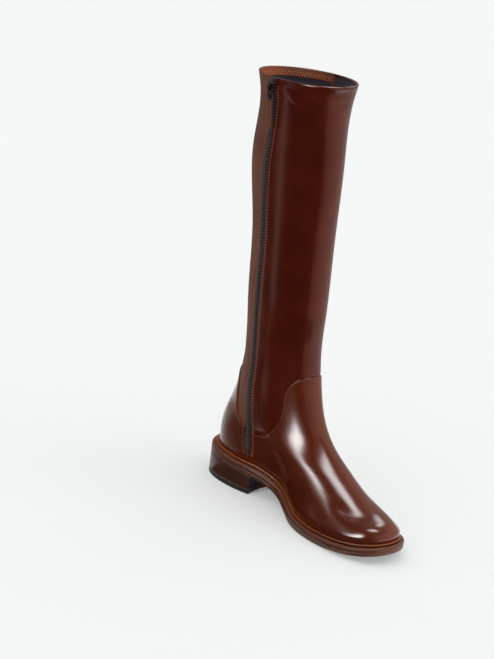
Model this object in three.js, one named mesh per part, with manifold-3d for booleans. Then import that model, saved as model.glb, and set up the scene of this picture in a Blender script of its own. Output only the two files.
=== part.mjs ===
// Knee-high zip boot for the left foot, in millimetres.
// The toe points to -Y, the outer side of the foot is +X and the floor is Z = 0.
// Lengths along the foot are measured as "along", from the heel's back to the toe, so y = -along.

import * as THREE from "three";
import { mergeVertices } from "three/addons/utils/BufferGeometryUtils.js";
import Module from "manifold-3d";

const wasm = await Module();
wasm.setup();

// Last: the foot that the boot is drawn over
const lastLength = 253;
const ballWidth = 78.5;
const heelWidth = 59.8;
const innerWaistDraw = 19;
const outerWaistDraw = 2;
const throatFront = 149.6;
const throatBack = 152.6;

// Leg, from the throat to the collar
const legPlace = 62;
const collarFront = 448;
const collarBack = 437.5;
const collarDepth = 118.6;
const collarWidth = 73.2;
const throatLean = 4;
const collarLean = -6.3;

// Leather: skins are measured outwards from the last's surface
const footSkin = 0.3;
const legSkin = -0.5;
const panelSkin = -0.9;
const liningSkin = -2.6;
const panelThickness = 1.5;
const hemDepth = 10;
const hemThickness = 2.6;

// Sole, downwards from the feather line where upper and welt meet
const beadRise = 4.6;
const weltWidth = 7.1;
const weltEdge = 3;
const outsoleThickness = 3.9;
const heelHeight = 21.6;
const seatPitch = 4;
const toeSpring = 10;
const insoleBelowFeather = 1.3;
const topPieceThickness = 4;
const heelBreast = 72.5;
const breastHollow = 6;

// Zip
const zipOpeningWidth = 8;
const zipCoilWidth = 5.2;
const zipCoilHeight = 1.2;
const zipTapeThickness = 0.9;
const sliderWidth = 8.6;
const sliderLength = 12;
const sliderHeight = 2.6;
const sliderBelowCollar = 3.5;
const crownLength = 6.6;
const crownWidth = 2.2;
const crownThickness = 1;
const pullPinDiameter = 1.4;
const pullTabWidth = 6.4;
const pullTabLength = 15;
const pullWindowLength = 6.4;
const pullTongueWidth = 3.4;
const pullTongueLength = 4;
const pullStripWidth = 6;
const pullStripLength = 31;
const pullStripThickness = 2.8;

// Gap between pieces that meet
const seamGap = 0.3;

// Fineness of the solids
const aroundSteps = 56;
const footRows = 15;
const legRows = 9;
const rowEasing = 0.6;
const panelRows = 10;

// Heights of the sole's layers under the feather line
const outsoleTop = beadRise + weltEdge + seamGap;
const soleStack = outsoleTop + outsoleThickness;
const upperTuck = beadRise + weltEdge;

// Shares of the last's length where the seat ends and where the tread lies flat on the floor
const seatEnd = 0.24;
const treadStart = 0.6;
const treadEnd = 0.7;

// Sections of the foot, each a tilted slice from the front profile to the back profile.
// front, back: shares of lastLength. rise, backRise: shares of the height from feather to throat.
// heelIn, heelOut: shares of heelWidth. ballIn, ballOut: shares of ballWidth.
// waist: share of the waist's draw. heelBlunt, toeBlunt: how square the two ends are. lean: of throatLean.
const FOOT_SECTIONS = [
  { front: 0.994, rise: 0.000, back: 0.003, backRise: 0.000, heelIn: 0.468, heelOut: 0.468,
    ballIn: 0.454, ballOut: 0.501, waist: 1.00, heelBlunt: 20, toeBlunt: 9, lean: 0 },
  { front: 1.000, rise: 0.030, back: 0.008, backRise: 0.048, heelIn: 0.490, heelOut: 0.490,
    ballIn: 0.480, ballOut: 0.520, waist: 0.91, heelBlunt: 19, toeBlunt: 9, lean: 0 },
  { front: 0.990, rise: 0.070, back: 0.006, backRise: 0.126, heelIn: 0.500, heelOut: 0.500,
    ballIn: 0.467, ballOut: 0.495, waist: 0.77, heelBlunt: 17.5, toeBlunt: 8, lean: 0 },
  { front: 0.960, rise: 0.115, back: 0.005, backRise: 0.204, heelIn: 0.500, heelOut: 0.500,
    ballIn: 0.435, ballOut: 0.445, waist: 0.62, heelBlunt: 15, toeBlunt: 7, lean: 0 },
  { front: 0.877, rise: 0.165, back: 0.006, backRise: 0.282, heelIn: 0.492, heelOut: 0.500,
    ballIn: 0.411, ballOut: 0.402, waist: 0.48, heelBlunt: 11, toeBlunt: 5.5, lean: 0 },
  { front: 0.790, rise: 0.230, back: 0.013, backRise: 0.361, heelIn: 0.490, heelOut: 0.502,
    ballIn: 0.398, ballOut: 0.372, waist: 0.34, heelBlunt: 7, toeBlunt: 4, lean: 0 },
  { front: 0.699, rise: 0.319, back: 0.023, backRise: 0.430, heelIn: 0.484, heelOut: 0.500,
    ballIn: 0.389, ballOut: 0.360, waist: 0.15, heelBlunt: 4.5, toeBlunt: 3, lean: 0.02 },
  { front: 0.616, rise: 0.426, back: 0.033, backRise: 0.508, heelIn: 0.470, heelOut: 0.488,
    ballIn: 0.372, ballOut: 0.355, waist: 0.05, heelBlunt: 3.3, toeBlunt: 2.3, lean: 0.12 },
  { front: 0.554, rise: 0.540, back: 0.042, backRise: 0.604, heelIn: 0.468, heelOut: 0.484,
    ballIn: 0.366, ballOut: 0.356, waist: 0, heelBlunt: 2.4, toeBlunt: 1.8, lean: 0.32 },
  { front: 0.510, rise: 0.664, back: 0.046, backRise: 0.708, heelIn: 0.472, heelOut: 0.482,
    ballIn: 0.364, ballOut: 0.364, waist: 0, heelBlunt: 1.8, toeBlunt: 1.5, lean: 0.55 },
  { front: 0.478, rise: 0.815, back: 0.048, backRise: 0.838, heelIn: 0.466, heelOut: 0.468,
    ballIn: 0.356, ballOut: 0.357, waist: 0, heelBlunt: 1.4, toeBlunt: 1.25, lean: 0.8 },
];

// Sections of the leg. rise: share of the way from throat to collar. front, back: shares of collarDepth
// either side of legPlace. half: share of collarWidth. sway: share of the way to the collar's lean.
const LEG_SECTIONS = [
  { rise: 0.000, front: 0.436, back: -0.422, half: 0.381, sway: 0.00 },
  { rise: 0.200, front: 0.426, back: -0.454, half: 0.397, sway: 0.20 },
  { rise: 0.460, front: 0.424, back: -0.489, half: 0.406, sway: 0.45 },
  { rise: 0.721, front: 0.432, back: -0.574, half: 0.424, sway: 0.71 },
  { rise: 0.940, front: 0.434, back: -0.528, half: 0.478, sway: 0.94 },
  { rise: 1.000, front: 0.466, back: -0.562, half: 0.516, sway: 1.00 },
];

// Seam lines on the side of the boot. up: share of the way from feather to collar.
// across: share of the way from the back profile to the front profile.
const ZIP_LINE = [
  { up: 0.012, across: 0.236 },
  { up: 0.050, across: 0.240 },
  { up: 0.100, across: 0.264 },
  { up: 0.200, across: 0.305 },
  { up: 0.300, across: 0.322 },
  { up: 0.450, across: 0.345 },
  { up: 0.650, across: 0.356 },
  { up: 0.850, across: 0.390 },
  { up: 1.000, across: 0.415 },
];
const OUTER_SEAM = [
  { up: 0.090, across: 0.262 },
  { up: 0.200, across: 0.320 },
  { up: 0.300, across: 0.352 },
  { up: 0.450, across: 0.385 },
  { up: 0.650, across: 0.415 },
  { up: 0.850, across: 0.456 },
  { up: 1.000, across: 0.495 },
];
const VAMP_EDGE = [
  { up: 0.102, across: 0.275 },
  { up: 0.112, across: 0.350 },
  { up: 0.130, across: 0.410 },
  { up: 0.155, across: 0.480 },
  { up: 0.186, across: 0.568 },
  { up: 0.213, across: 0.645 },
  { up: 0.242, across: 0.715 },
  { up: 0.268, across: 0.752 },
  { up: 0.289, across: 0.770 },
  { up: 0.307, across: 0.800 },
  { up: 0.324, across: 0.865 },
  { up: 0.337, across: 0.940 },
  { up: 0.343, across: 1.010 },
  { up: 0.346, across: 1.250 },
];
const COUNTER_EDGE = [
  { up: 0.102, across: 0.275 },
  { up: 0.112, across: 0.215 },
  { up: 0.138, across: 0.170 },
  { up: 0.184, across: 0.135 },
  { up: 0.218, across: 0.108 },
  { up: 0.248, across: 0.078 },
  { up: 0.268, across: 0.040 },
  { up: 0.275, across: 0.000 },
  { up: 0.277, across: -0.250 },
];

// Small helpers

function smoothStep(value) {
  const t = THREE.MathUtils.clamp(value, 0, 1);
  return t * t * (3 - 2 * t);
}

function mix(from, to, share) {
  return from + (to - from) * share;
}

// Natural cubic spline through one value per knot
function naturalSpline(knots, values) {
  const last = knots.length - 1;
  const bend = new Array(last + 1).fill(0);
  const upper = new Array(last + 1).fill(0);
  for (let i = 1; i < last; i += 1) {
    const before = knots[i] - knots[i - 1];
    const after = knots[i + 1] - knots[i];
    const turn = (values[i + 1] - values[i]) / after - (values[i] - values[i - 1]) / before;
    const pivot = 2 * (before + after) - before * upper[i - 1];
    upper[i] = after / pivot;
    bend[i] = (6 * turn - before * bend[i - 1]) / pivot;
  }
  for (let i = last - 1; i > 0; i -= 1) {
    bend[i] -= upper[i] * bend[i + 1];
  }
  return (at) => {
    let i = 0;
    while (i < last - 1 && at > knots[i + 1]) {
      i += 1;
    }
    const span = knots[i + 1] - knots[i];
    const b = (at - knots[i]) / span;
    const a = 1 - b;
    const curve = ((a ** 3 - a) * bend[i] + (b ** 3 - b) * bend[i + 1]) * span ** 2 / 6;
    return a * values[i] + b * values[i + 1] + curve;
  };
}

// Last surface

// Height of the feather line: pitched seat, down the arch, flat tread, up the toe spring
function featherHeight(along) {
  const share = along / lastLength;
  const pitch = seatPitch * Math.max(0, 1 - share / seatEnd) ** 1.5;
  const arch = smoothStep((share - seatEnd) / (treadStart - seatEnd));
  const spring = Math.max(0, (share - treadEnd) / (1 - treadEnd));
  return soleStack + heelHeight * (1 - arch) + pitch + toeSpring * spring ** 2;
}

const seatFeather = soleStack + heelHeight + seatPitch;
const toeFeather = soleStack + toeSpring;

function footRow(row) {
  return {
    front: row.front * lastLength,
    frontZ: mix(toeFeather, throatFront, row.rise),
    back: row.back * lastLength,
    backZ: mix(seatFeather, throatBack, row.backRise),
    heelIn: row.heelIn * heelWidth,
    heelOut: row.heelOut * heelWidth,
    ballIn: row.ballIn * ballWidth,
    ballOut: row.ballOut * ballWidth,
    waistIn: row.waist * innerWaistDraw,
    waistOut: row.waist * outerWaistDraw,
    heelBlunt: row.heelBlunt,
    toeBlunt: row.toeBlunt,
    lean: row.lean * throatLean,
  };
}

function legRow(row) {
  const half = row.half * collarWidth;
  return {
    front: legPlace + row.front * collarDepth,
    frontZ: mix(throatFront, collarFront, row.rise),
    back: legPlace + row.back * collarDepth,
    backZ: mix(throatBack, collarBack, row.rise),
    heelIn: half,
    heelOut: half,
    ballIn: half,
    ballOut: half,
    waistIn: 0,
    waistOut: 0,
    heelBlunt: 1,
    toeBlunt: 1,
    lean: mix(throatLean, collarLean, row.sway),
  };
}

const lastRows = [...FOOT_SECTIONS.map(footRow), ...LEG_SECTIONS.map(legRow)];

// Knots of the sections: the mean of the steps along the front and the back profile
const lastKnots = [0];
for (let i = 1; i < lastRows.length; i += 1) {
  const row = lastRows[i];
  const before = lastRows[i - 1];
  const frontStep = Math.hypot(row.front - before.front, row.frontZ - before.frontZ);
  const backStep = Math.hypot(row.back - before.back, row.backZ - before.backZ);
  lastKnots.push(lastKnots[i - 1] + (frontStep + backStep) / 2);
}
const lastRise = lastKnots[lastRows.length - 1];
const throatUp = lastKnots[FOOT_SECTIONS.length] / lastRise;
const featherFade = lastKnots[6] / lastRise;

const sectionCurves = {};
for (const name of Object.keys(lastRows[0])) {
  sectionCurves[name] = naturalSpline(lastKnots, lastRows.map((row) => row[name]));
}

const sectionStore = new Map();

// The section at a share of the way up from feather to collar
function sectionAt(up) {
  if (!sectionStore.has(up)) {
    const section = {};
    for (const [name, curve] of Object.entries(sectionCurves)) {
      section[name] = curve(up * lastRise);
    }
    section.heelBlunt = Math.max(1, section.heelBlunt);
    section.toeBlunt = Math.max(1, section.toeBlunt);
    sectionStore.set(up, section);
  }
  return sectionStore.get(up);
}

// Side view of the surface: place along the foot and height
function sidePlace(up, across) {
  const section = sectionAt(up);
  const along = mix(section.back, section.front, across);
  const chord = mix(section.backZ, section.frontZ, across);
  const level = mix(seatFeather, toeFeather, THREE.MathUtils.clamp(across, 0, 1));
  const fade = smoothStep(1 - up / featherFade);
  return new THREE.Vector2(along, chord + fade * (featherHeight(along) - level));
}

// A point of the surface. turn goes round the section: outer side from back to front, inner side back again.
function lastPoint(up, turn) {
  const section = sectionAt(up);
  const outer = turn < 0.5;
  const across = (1 - Math.cos(2 * Math.PI * turn)) / 2;
  const ends = (1 - (1 - across) ** section.heelBlunt) * (1 - across ** section.toeBlunt);
  const middle = (1 - 0.5 ** section.heelBlunt) * (1 - 0.5 ** section.toeBlunt);
  const heel = outer ? section.heelOut : section.heelIn;
  const ball = outer ? section.ballOut : section.ballIn;
  const draw = outer ? section.waistOut : section.waistIn;
  const widening = smoothStep((across - 0.15) / 0.5);
  const pinch = draw * Math.exp(-(((across - 0.42) / 0.16) ** 2));
  const half = (mix(heel, ball, widening) - pinch) * Math.sqrt(Math.max(0, ends / middle));
  const side = sidePlace(up, across);
  return new THREE.Vector3(section.lean + (outer ? half : -half), -side.x, side.y);
}

function wrapTurn(turn) {
  return ((turn % 1) + 1) % 1;
}

// Outward direction of the surface
function lastNormal(up, turn) {
  const step = 0.004;
  const low = Math.max(0, up - step);
  const high = Math.min(1, up + step);
  const rise = lastPoint(high, turn).sub(lastPoint(low, turn));
  const round = lastPoint(up, wrapTurn(turn + step)).sub(lastPoint(up, wrapTurn(turn - step)));
  return rise.cross(round).normalize();
}

function skinPoint(up, turn, skin) {
  return lastPoint(up, turn).addScaledVector(lastNormal(up, turn), skin);
}

// A point on the feather line grown outwards in plan, a given depth under the feather height
function featherPoint(turn, grow, below) {
  const normal = lastNormal(0, turn).setZ(0).normalize();
  const point = lastPoint(0, turn).addScaledVector(normal, grow);
  point.z = featherHeight(-point.y) - below;
  return point;
}

function ring(makePoint) {
  const points = [];
  for (let i = 0; i < aroundSteps; i += 1) {
    points.push(makePoint(i / aroundSteps));
  }
  return points;
}

// Solids from points

function geometryFrom(points, triangles) {
  const geometry = new THREE.BufferGeometry();
  const places = new Float32Array(points.flatMap((point) => point.toArray()));
  geometry.setAttribute("position", new THREE.BufferAttribute(places, 3));
  geometry.setIndex(triangles.flat());
  return geometry;
}

// Rings of equal count, joined each to the next and the last to the first
function ringSolid(rings) {
  const count = rings[0].length;
  const triangles = [];
  for (let i = 0; i < rings.length; i += 1) {
    const next = (i + 1) % rings.length;
    for (let j = 0; j < count; j += 1) {
      const beside = (j + 1) % count;
      const here = i * count + j;
      triangles.push([here, next * count + j, next * count + beside]);
      triangles.push([here, next * count + beside, i * count + beside]);
    }
  }
  return geometryFrom(rings.flat(), triangles);
}

// A plate over the first stations of a ring, from the heel forwards, with its own top and bottom
function plateSolid(stations, makeTop, makeBottom) {
  const points = [];
  const triangles = [];
  const half = aroundSteps / 2;
  for (let i = 0; i <= stations; i += 1) {
    const outer = i / aroundSteps;
    const inner = wrapTurn(1 - outer);
    points.push(makeTop(outer), makeTop(inner), makeBottom(outer), makeBottom(inner));
  }
  const quad = (a, b, c, d) => triangles.push([a, b, c], [a, c, d]);
  for (let i = 0; i < stations; i += 1) {
    const at = 4 * i;
    quad(at, at + 1, at + 5, at + 4);
    quad(at + 2, at + 6, at + 7, at + 3);
    quad(at, at + 4, at + 6, at + 2);
    quad(at + 1, at + 3, at + 7, at + 5);
  }
  if (stations < half) {
    const end = 4 * stations;
    quad(end, end + 1, end + 3, end + 2);
  }
  return geometryFrom(points, triangles);
}

// Joining and cutting

function toManifold(geometry) {
  const bare = geometry.clone();
  bare.deleteAttribute("normal");
  bare.deleteAttribute("uv");
  const merged = mergeVertices(bare, 1e-4);
  const index = Array.from(merged.index.array);
  const kept = [];
  for (let i = 0; i < index.length; i += 3) {
    const [a, b, c] = index.slice(i, i + 3);
    if (a !== b && b !== c && c !== a) {
      kept.push(a, b, c);
    }
  }
  return new wasm.Manifold(new wasm.Mesh({
    numProp: 3,
    vertProperties: Float32Array.from(merged.attributes.position.array),
    triVerts: Uint32Array.from(kept),
  }));
}

function toGeometry(solid) {
  const mesh = solid.getMesh();
  const places = new Float32Array(mesh.numVert * 3);
  for (let i = 0; i < mesh.numVert; i += 1) {
    for (let axis = 0; axis < 3; axis += 1) {
      places[3 * i + axis] = mesh.vertProperties[mesh.numProp * i + axis];
    }
  }
  const geometry = new THREE.BufferGeometry();
  geometry.setAttribute("position", new THREE.BufferAttribute(places, 3));
  geometry.setIndex(Array.from(mesh.triVerts));
  return geometry;
}

// Shells of the last between two skins

function upSteps(rows, from, to) {
  return Array.from({ length: rows + 1 }, (unused, i) => mix(from, to, i / rows));
}

function shellSolid(outerSkin, innerSkin, outerUps, innerUps, tuck) {
  const outer = outerUps.map((up) => ring((turn) => skinPoint(up, turn, outerSkin)));
  const inner = innerUps.map((up) => ring((turn) => skinPoint(up, turn, innerSkin)));
  if (tuck) {
    outer[0] = ring((turn) => featherPoint(turn, outerSkin, 0));
    inner[0] = ring((turn) => featherPoint(turn, innerSkin, 0));
    outer.unshift(ring((turn) => featherPoint(turn, outerSkin, upperTuck)));
    inner.unshift(ring((turn) => featherPoint(turn, innerSkin, upperTuck)));
  }
  return toManifold(ringSolid([...outer, ...inner.reverse()]));
}

// Steps from throat to collar, finer at both ends, where the profile bends most
const legUps = upSteps(legRows, 0, 1).map((share) => {
  const eased = (1 - Math.cos(Math.PI * share)) / 2;
  return mix(throatUp, 1, mix(share, eased, rowEasing));
});
const bootUps = [...upSteps(footRows, 0, throatUp), ...legUps.slice(1)];
const liningUps = bootUps.filter((up, i) => i % 2 === 0);

// Blocks that cut the shells along the seams, drawn in the side view

const blockReach = 90;
const blockOverlap = 0.5;

function seamCurve(rows, steps) {
  const points = rows.map((row) => sidePlace(row.up, row.across));
  return new THREE.SplineCurve(points).getPoints(steps);
}

// A seam line moved sideways: forwards for a line that goes up
function shifted(line, distance) {
  return line.map((point, i) => {
    const before = line[Math.max(0, i - 1)];
    const after = line[Math.min(line.length - 1, i + 1)];
    const tangent = after.clone().sub(before).normalize();
    return new THREE.Vector2(point.x + tangent.y * distance, point.y - tangent.x * distance);
  });
}

function above(point, height) {
  return new THREE.Vector2(point.x, point.y + height);
}

// A block over one side of the boot, from its middle outwards
function sideBlock(outline, outer) {
  const block = new THREE.ExtrudeGeometry(new THREE.Shape(outline), {
    depth: blockReach + blockOverlap,
    bevelEnabled: false,
  });
  const turned = new THREE.Matrix4().makeBasis(
    new THREE.Vector3(0, -1, 0),
    new THREE.Vector3(0, 0, 1),
    new THREE.Vector3(-1, 0, 0),
  );
  block.applyMatrix4(turned);
  block.translate(outer ? blockReach : blockOverlap, 0, 0);
  return toManifold(block);
}

const openTop = 40;
const farFront = lastLength + 40;
const farBack = -50;
const farBelow = -20;

const zipLine = seamCurve(ZIP_LINE, 22);
const outerSeam = seamCurve(OUTER_SEAM, 14);
const vampEdge = seamCurve(VAMP_EDGE, 26);
const counterEdge = seamCurve(COUNTER_EDGE, 16);
const halfOpening = zipOpeningWidth / 2;

// A line that goes up, carried past the collar, or ended just under it
function toCollar(line, topInset) {
  const top = line[line.length - 1];
  const below = line.slice(0, -1);
  return topInset > 0 ? [...below, above(top, -topInset)] : [...below, top, above(top, openTop)];
}

// Spear-shaped outline along the zip: pointed below, and open above where it has no inset there
function zipOutline(half, tipInset, topInset) {
  const lowest = zipLine[0].clone().lerp(zipLine[1], tipInset / zipLine[0].distanceTo(zipLine[1]));
  const front = toCollar(shifted(zipLine, half).slice(1), topInset);
  const rear = toCollar(shifted(zipLine, -half).slice(1), topInset);
  return [lowest, ...front, ...rear.reverse()];
}

// Where two lines of the side view cross: the place, and the step of each line before it
function crossing(first, second) {
  for (let i = 0; i < first.length - 1; i += 1) {
    for (let j = 0; j < second.length - 1; j += 1) {
      const along = first[i + 1].clone().sub(first[i]);
      const other = second[j + 1].clone().sub(second[j]);
      const between = second[j].clone().sub(first[i]);
      const area = along.cross(other);
      const share = between.cross(other) / area;
      const otherShare = between.cross(along) / area;
      if (share >= 0 && share < 1 && otherShare >= 0 && otherShare < 1) {
        return { place: first[i].clone().addScaledVector(along, share), i, j };
      }
    }
  }
  throw new Error("the seam lines do not cross");
}

// Area behind a line that goes up and above the counter's edge
function backArea(line, gap) {
  const top = above(line[line.length - 1], openTop);
  const low = shifted(counterEdge, gap);
  const farLow = low[low.length - 1];
  const corner = crossing(low, line);
  return [
    corner.place,
    ...low.slice(corner.i + 1),
    new THREE.Vector2(farBack, farLow.y),
    new THREE.Vector2(farBack, top.y),
    top,
    ...line.slice(corner.j + 1).reverse(),
  ];
}

// Foot pieces: everything under the edges of vamp and counter
function footArea() {
  const peak = vampEdge[vampEdge.length - 1];
  const rear = counterEdge[counterEdge.length - 1];
  return [
    new THREE.Vector2(farFront, farBelow),
    new THREE.Vector2(farFront, peak.y),
    ...vampEdge.slice(1).reverse(),
    ...counterEdge,
    new THREE.Vector2(farBack, rear.y),
    new THREE.Vector2(farBack, farBelow),
  ];
}

// Upper: one hollow piece, with the foot leather proud of the leg leather

function buildUpper() {
  const wall = shellSolid(legSkin, liningSkin, bootUps, liningUps, true);
  const footUps = bootUps.slice(0, footRows + 1);
  const middleSkin = (legSkin + liningSkin) / 2;
  const footShell = shellSolid(footSkin, middleSkin, footUps, footUps, true);
  const footBlock = sideBlock(footArea(), false).add(sideBlock(footArea(), true));
  const cutOut = sideBlock(zipOutline(halfOpening, 0, 0), false)
    .add(sideBlock(backArea(zipLine, 0), false))
    .add(sideBlock(backArea(outerSeam, 0), true));
  return wall.add(footShell.intersect(footBlock)).subtract(cutOut);
}

// Stretch panel round the back of the leg, with a thicker hem inside the collar

function buildBackPanel() {
  const panelBlock = sideBlock(backArea(shifted(zipLine, -halfOpening), seamGap), false)
    .add(sideBlock(backArea(shifted(outerSeam, -seamGap), seamGap), true));
  const backUps = upSteps(panelRows, 0, 1);
  const sheet = shellSolid(panelSkin, panelSkin - panelThickness, bootUps, backUps, false);
  const hemStart = 1 - hemDepth / lastRise;
  const hemUps = upSteps(2, hemStart, 1);
  const middleSkin = panelSkin - panelThickness / 2;
  const hem = shellSolid(middleSkin, panelSkin - hemThickness, hemUps, hemUps, false);
  return sheet.add(hem).intersect(panelBlock);
}

// Zip tape and closed coil in the opening

function buildZipTape() {
  const outerSkin = legSkin - seamGap;
  const tape = shellSolid(outerSkin, outerSkin - zipTapeThickness, bootUps, bootUps, false);
  return tape.intersect(sideBlock(zipOutline(halfOpening - seamGap, 2 * seamGap, 0), false));
}

function buildZipCoil() {
  const coil = shellSolid(legSkin + zipCoilHeight, legSkin, bootUps, bootUps, false);
  const halfCoil = zipCoilWidth / 2;
  return coil.intersect(sideBlock(zipOutline(halfCoil, halfOpening, seamGap), false));
}

// Sole

// Cross-section of the welt: distance out from the upper and depth under the feather line
function weltProfile() {
  const inside = footSkin + seamGap;
  const beadRadius = 1.3;
  const beadMiddle = inside + beadRadius;
  const grooveOut = beadMiddle + beadRadius + 0.2;
  const bead = [0, 45, 90, 135, 180].map((degrees) => {
    const angle = THREE.MathUtils.degToRad(degrees);
    return [beadMiddle + beadRadius * Math.cos(angle), beadRadius - beadRadius * Math.sin(angle)];
  });
  const grooveDeep = beadRise * 0.72;
  return [
    [weltWidth, upperTuck],
    [weltWidth, beadRise + 0.3],
    [weltWidth - 0.5, beadRise - 0.25],
    [grooveOut + 0.4, grooveDeep],
    [grooveOut - 0.2, grooveDeep],
    ...bead,
    [inside, upperTuck],
  ];
}

function buildWelt() {
  return ringSolid(weltProfile().map(([grow, below]) => ring((turn) => featherPoint(turn, grow, below))));
}

function buildOutsole() {
  return plateSolid(
    aroundSteps / 2,
    (turn) => featherPoint(turn, weltWidth, outsoleTop),
    (turn) => featherPoint(turn, weltWidth, soleStack),
  );
}

function buildInsole() {
  const inside = liningSkin - seamGap;
  return plateSolid(
    aroundSteps / 2,
    (turn) => featherPoint(turn, inside, insoleBelowFeather),
    (turn) => featherPoint(turn, inside, upperTuck),
  );
}

// Upright cylinder that hollows the front of the heel
function breastCutter() {
  const halfWidth = heelWidth / 2;
  const radius = (halfWidth ** 2 + breastHollow ** 2) / (2 * breastHollow);
  const cutter = new THREE.CylinderGeometry(radius, radius, 3 * heelHeight, 120);
  cutter.rotateX(Math.PI / 2);
  cutter.translate(0, -(heelBreast - breastHollow + radius), heelHeight);
  return toManifold(cutter);
}

// Part of the heel between two heights, flush with the sole's edge
function heelLayer(topHeight, bottomHeight) {
  const stations = Math.round(aroundSteps * 0.23);
  const at = (turn, height) => {
    const point = featherPoint(turn, weltWidth, soleStack);
    point.z = height(point.z);
    return point;
  };
  const layer = plateSolid(
    stations,
    (turn) => at(turn, topHeight),
    (turn) => at(turn, bottomHeight),
  );
  return toManifold(layer).subtract(breastCutter());
}

function buildHeelBlock() {
  return heelLayer((sole) => sole - seamGap, () => topPieceThickness + seamGap);
}

function buildTopPiece() {
  return heelLayer(() => topPieceThickness, () => 0);
}

// Zip slider and pull, built in a frame with x to the toe, y up the zip and z out of the leg

// Place on the inner side of the surface where it meets a line of the side view
function innerTurn(up, across) {
  return 1 - Math.acos(1 - 2 * across) / (2 * Math.PI);
}

const sliderUp = 1 - (sliderBelowCollar + sliderLength / 2) / lastRise;
const sliderAcross = ZIP_LINE[ZIP_LINE.length - 1].across;
const sliderTurn = innerTurn(sliderUp, sliderAcross);

// How far the flaring leg rises from the slider's plane at the slider's ends
function flareUnder(out) {
  const middle = lastPoint(sliderUp, sliderTurn);
  const reach = sliderLength / 2 / lastRise;
  const rises = [-reach, reach].map((step) => lastPoint(sliderUp + step, sliderTurn).sub(middle).dot(out));
  return Math.max(0, ...rises);
}

function sliderFrame() {
  const step = 0.01;
  const out = lastNormal(sliderUp, sliderTurn);
  const sliderBase = legSkin + zipCoilHeight + seamGap + flareUnder(out);
  const rise = lastPoint(sliderUp + step, sliderTurn).sub(lastPoint(sliderUp - step, sliderTurn));
  const forward = rise.clone().cross(out).normalize();
  const upward = out.clone().cross(forward).normalize();
  const frame = new THREE.Group();
  frame.matrixAutoUpdate = false;
  frame.matrix.makeBasis(forward, upward, out);
  frame.matrix.setPosition(skinPoint(sliderUp, sliderTurn, sliderBase));
  return frame;
}

function extruded(outline, depth, from) {
  const shape = new THREE.Shape(outline.map(([x, y]) => new THREE.Vector2(x, y)));
  const solid = new THREE.ExtrudeGeometry(shape, { depth, bevelEnabled: false });
  solid.translate(0, 0, from);
  return solid;
}

function boxAt(width, height, depth, x, y, z) {
  const box = new THREE.BoxGeometry(width, height, depth);
  box.translate(x, y, z);
  return box;
}

const crownInside = pullPinDiameter + 2 * seamGap;
const pullAxisHeight = sliderHeight + seamGap + pullPinDiameter / 2;

function buildSlider() {
  const wide = sliderWidth / 2;
  const narrow = wide * 0.7;
  const long = sliderLength / 2;
  const body = toManifold(extruded([
    [-narrow, -long],
    [narrow, -long],
    [wide, -long * 0.2],
    [wide, long * 0.7],
    [wide * 0.75, long],
    [wide * 0.25, long],
    [0, long * 0.72],
    [-wide * 0.25, long],
    [-wide * 0.75, long],
    [-wide, long * 0.7],
    [-wide, -long * 0.2],
  ], sliderHeight, 0));
  const crownTop = sliderHeight + crownInside + crownThickness;
  const legLong = (crownLength - crownInside) / 2;
  const legMiddle = (crownInside + legLong) / 2;
  const crown = toManifold(boxAt(crownWidth, crownLength, crownThickness, 0, 0, crownTop - crownThickness / 2));
  const legs = [-1, 1].map((end) => toManifold(
    boxAt(crownWidth, legLong, crownTop - sliderHeight / 2, 0, end * legMiddle, crownTop / 2 + sliderHeight / 4),
  ));
  return body.add(crown).add(legs[0]).add(legs[1]);
}

// The tab hangs down from its pin, which passes under the slider's crown
function buildPullTab() {
  const thick = pullPinDiameter;
  const windowWide = crownWidth + 4 * seamGap;
  const armWide = (pullTabWidth - windowWide) / 2;
  const armMiddle = (windowWide + armWide) / 2;
  const pin = new THREE.CylinderGeometry(thick / 2, thick / 2, windowWide + armWide, 12);
  pin.rotateZ(Math.PI / 2);
  const plateLong = pullTabLength - pullTongueLength - pullWindowLength;
  const tongueMiddle = -(pullTabLength - pullTongueLength / 2);
  return toManifold(pin)
    .add(toManifold(boxAt(armWide, pullWindowLength + thick / 2 + 0.2, thick, -armMiddle,
      (thick / 2 - pullWindowLength - 0.2) / 2, 0)))
    .add(toManifold(boxAt(armWide, pullWindowLength + thick / 2 + 0.2, thick, armMiddle,
      (thick / 2 - pullWindowLength - 0.2) / 2, 0)))
    .add(toManifold(boxAt(pullTabWidth, plateLong, thick, 0, -pullWindowLength - plateLong / 2, 0)))
    .add(toManifold(boxAt(pullTongueWidth, pullTongueLength + 0.4, thick, 0, tongueMiddle + 0.2, 0)));
}

// Leather strip folded round the tab's tongue, with a cut-off lower end
function buildPullStrip() {
  const half = pullStripWidth / 2;
  const top = -(pullTabLength - pullTongueLength + seamGap);
  const bottom = top - pullStripLength;
  const strip = toManifold(extruded([
    [-half, top],
    [-half, bottom + half * 0.5],
    [-half * 0.5, bottom],
    [half * 0.5, bottom],
    [half, bottom + half * 0.5],
    [half, top],
  ], pullStripThickness, -pullStripThickness / 2));
  const pocketDeep = pullTongueLength + seamGap;
  const pocket = boxAt(
    pullTongueWidth + 2 * seamGap,
    2 * pocketDeep,
    pullPinDiameter + 2 * seamGap,
    0,
    -(pullTabLength + seamGap) + pocketDeep,
    0,
  );
  return strip.subtract(toManifold(pocket));
}

// Materials

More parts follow.
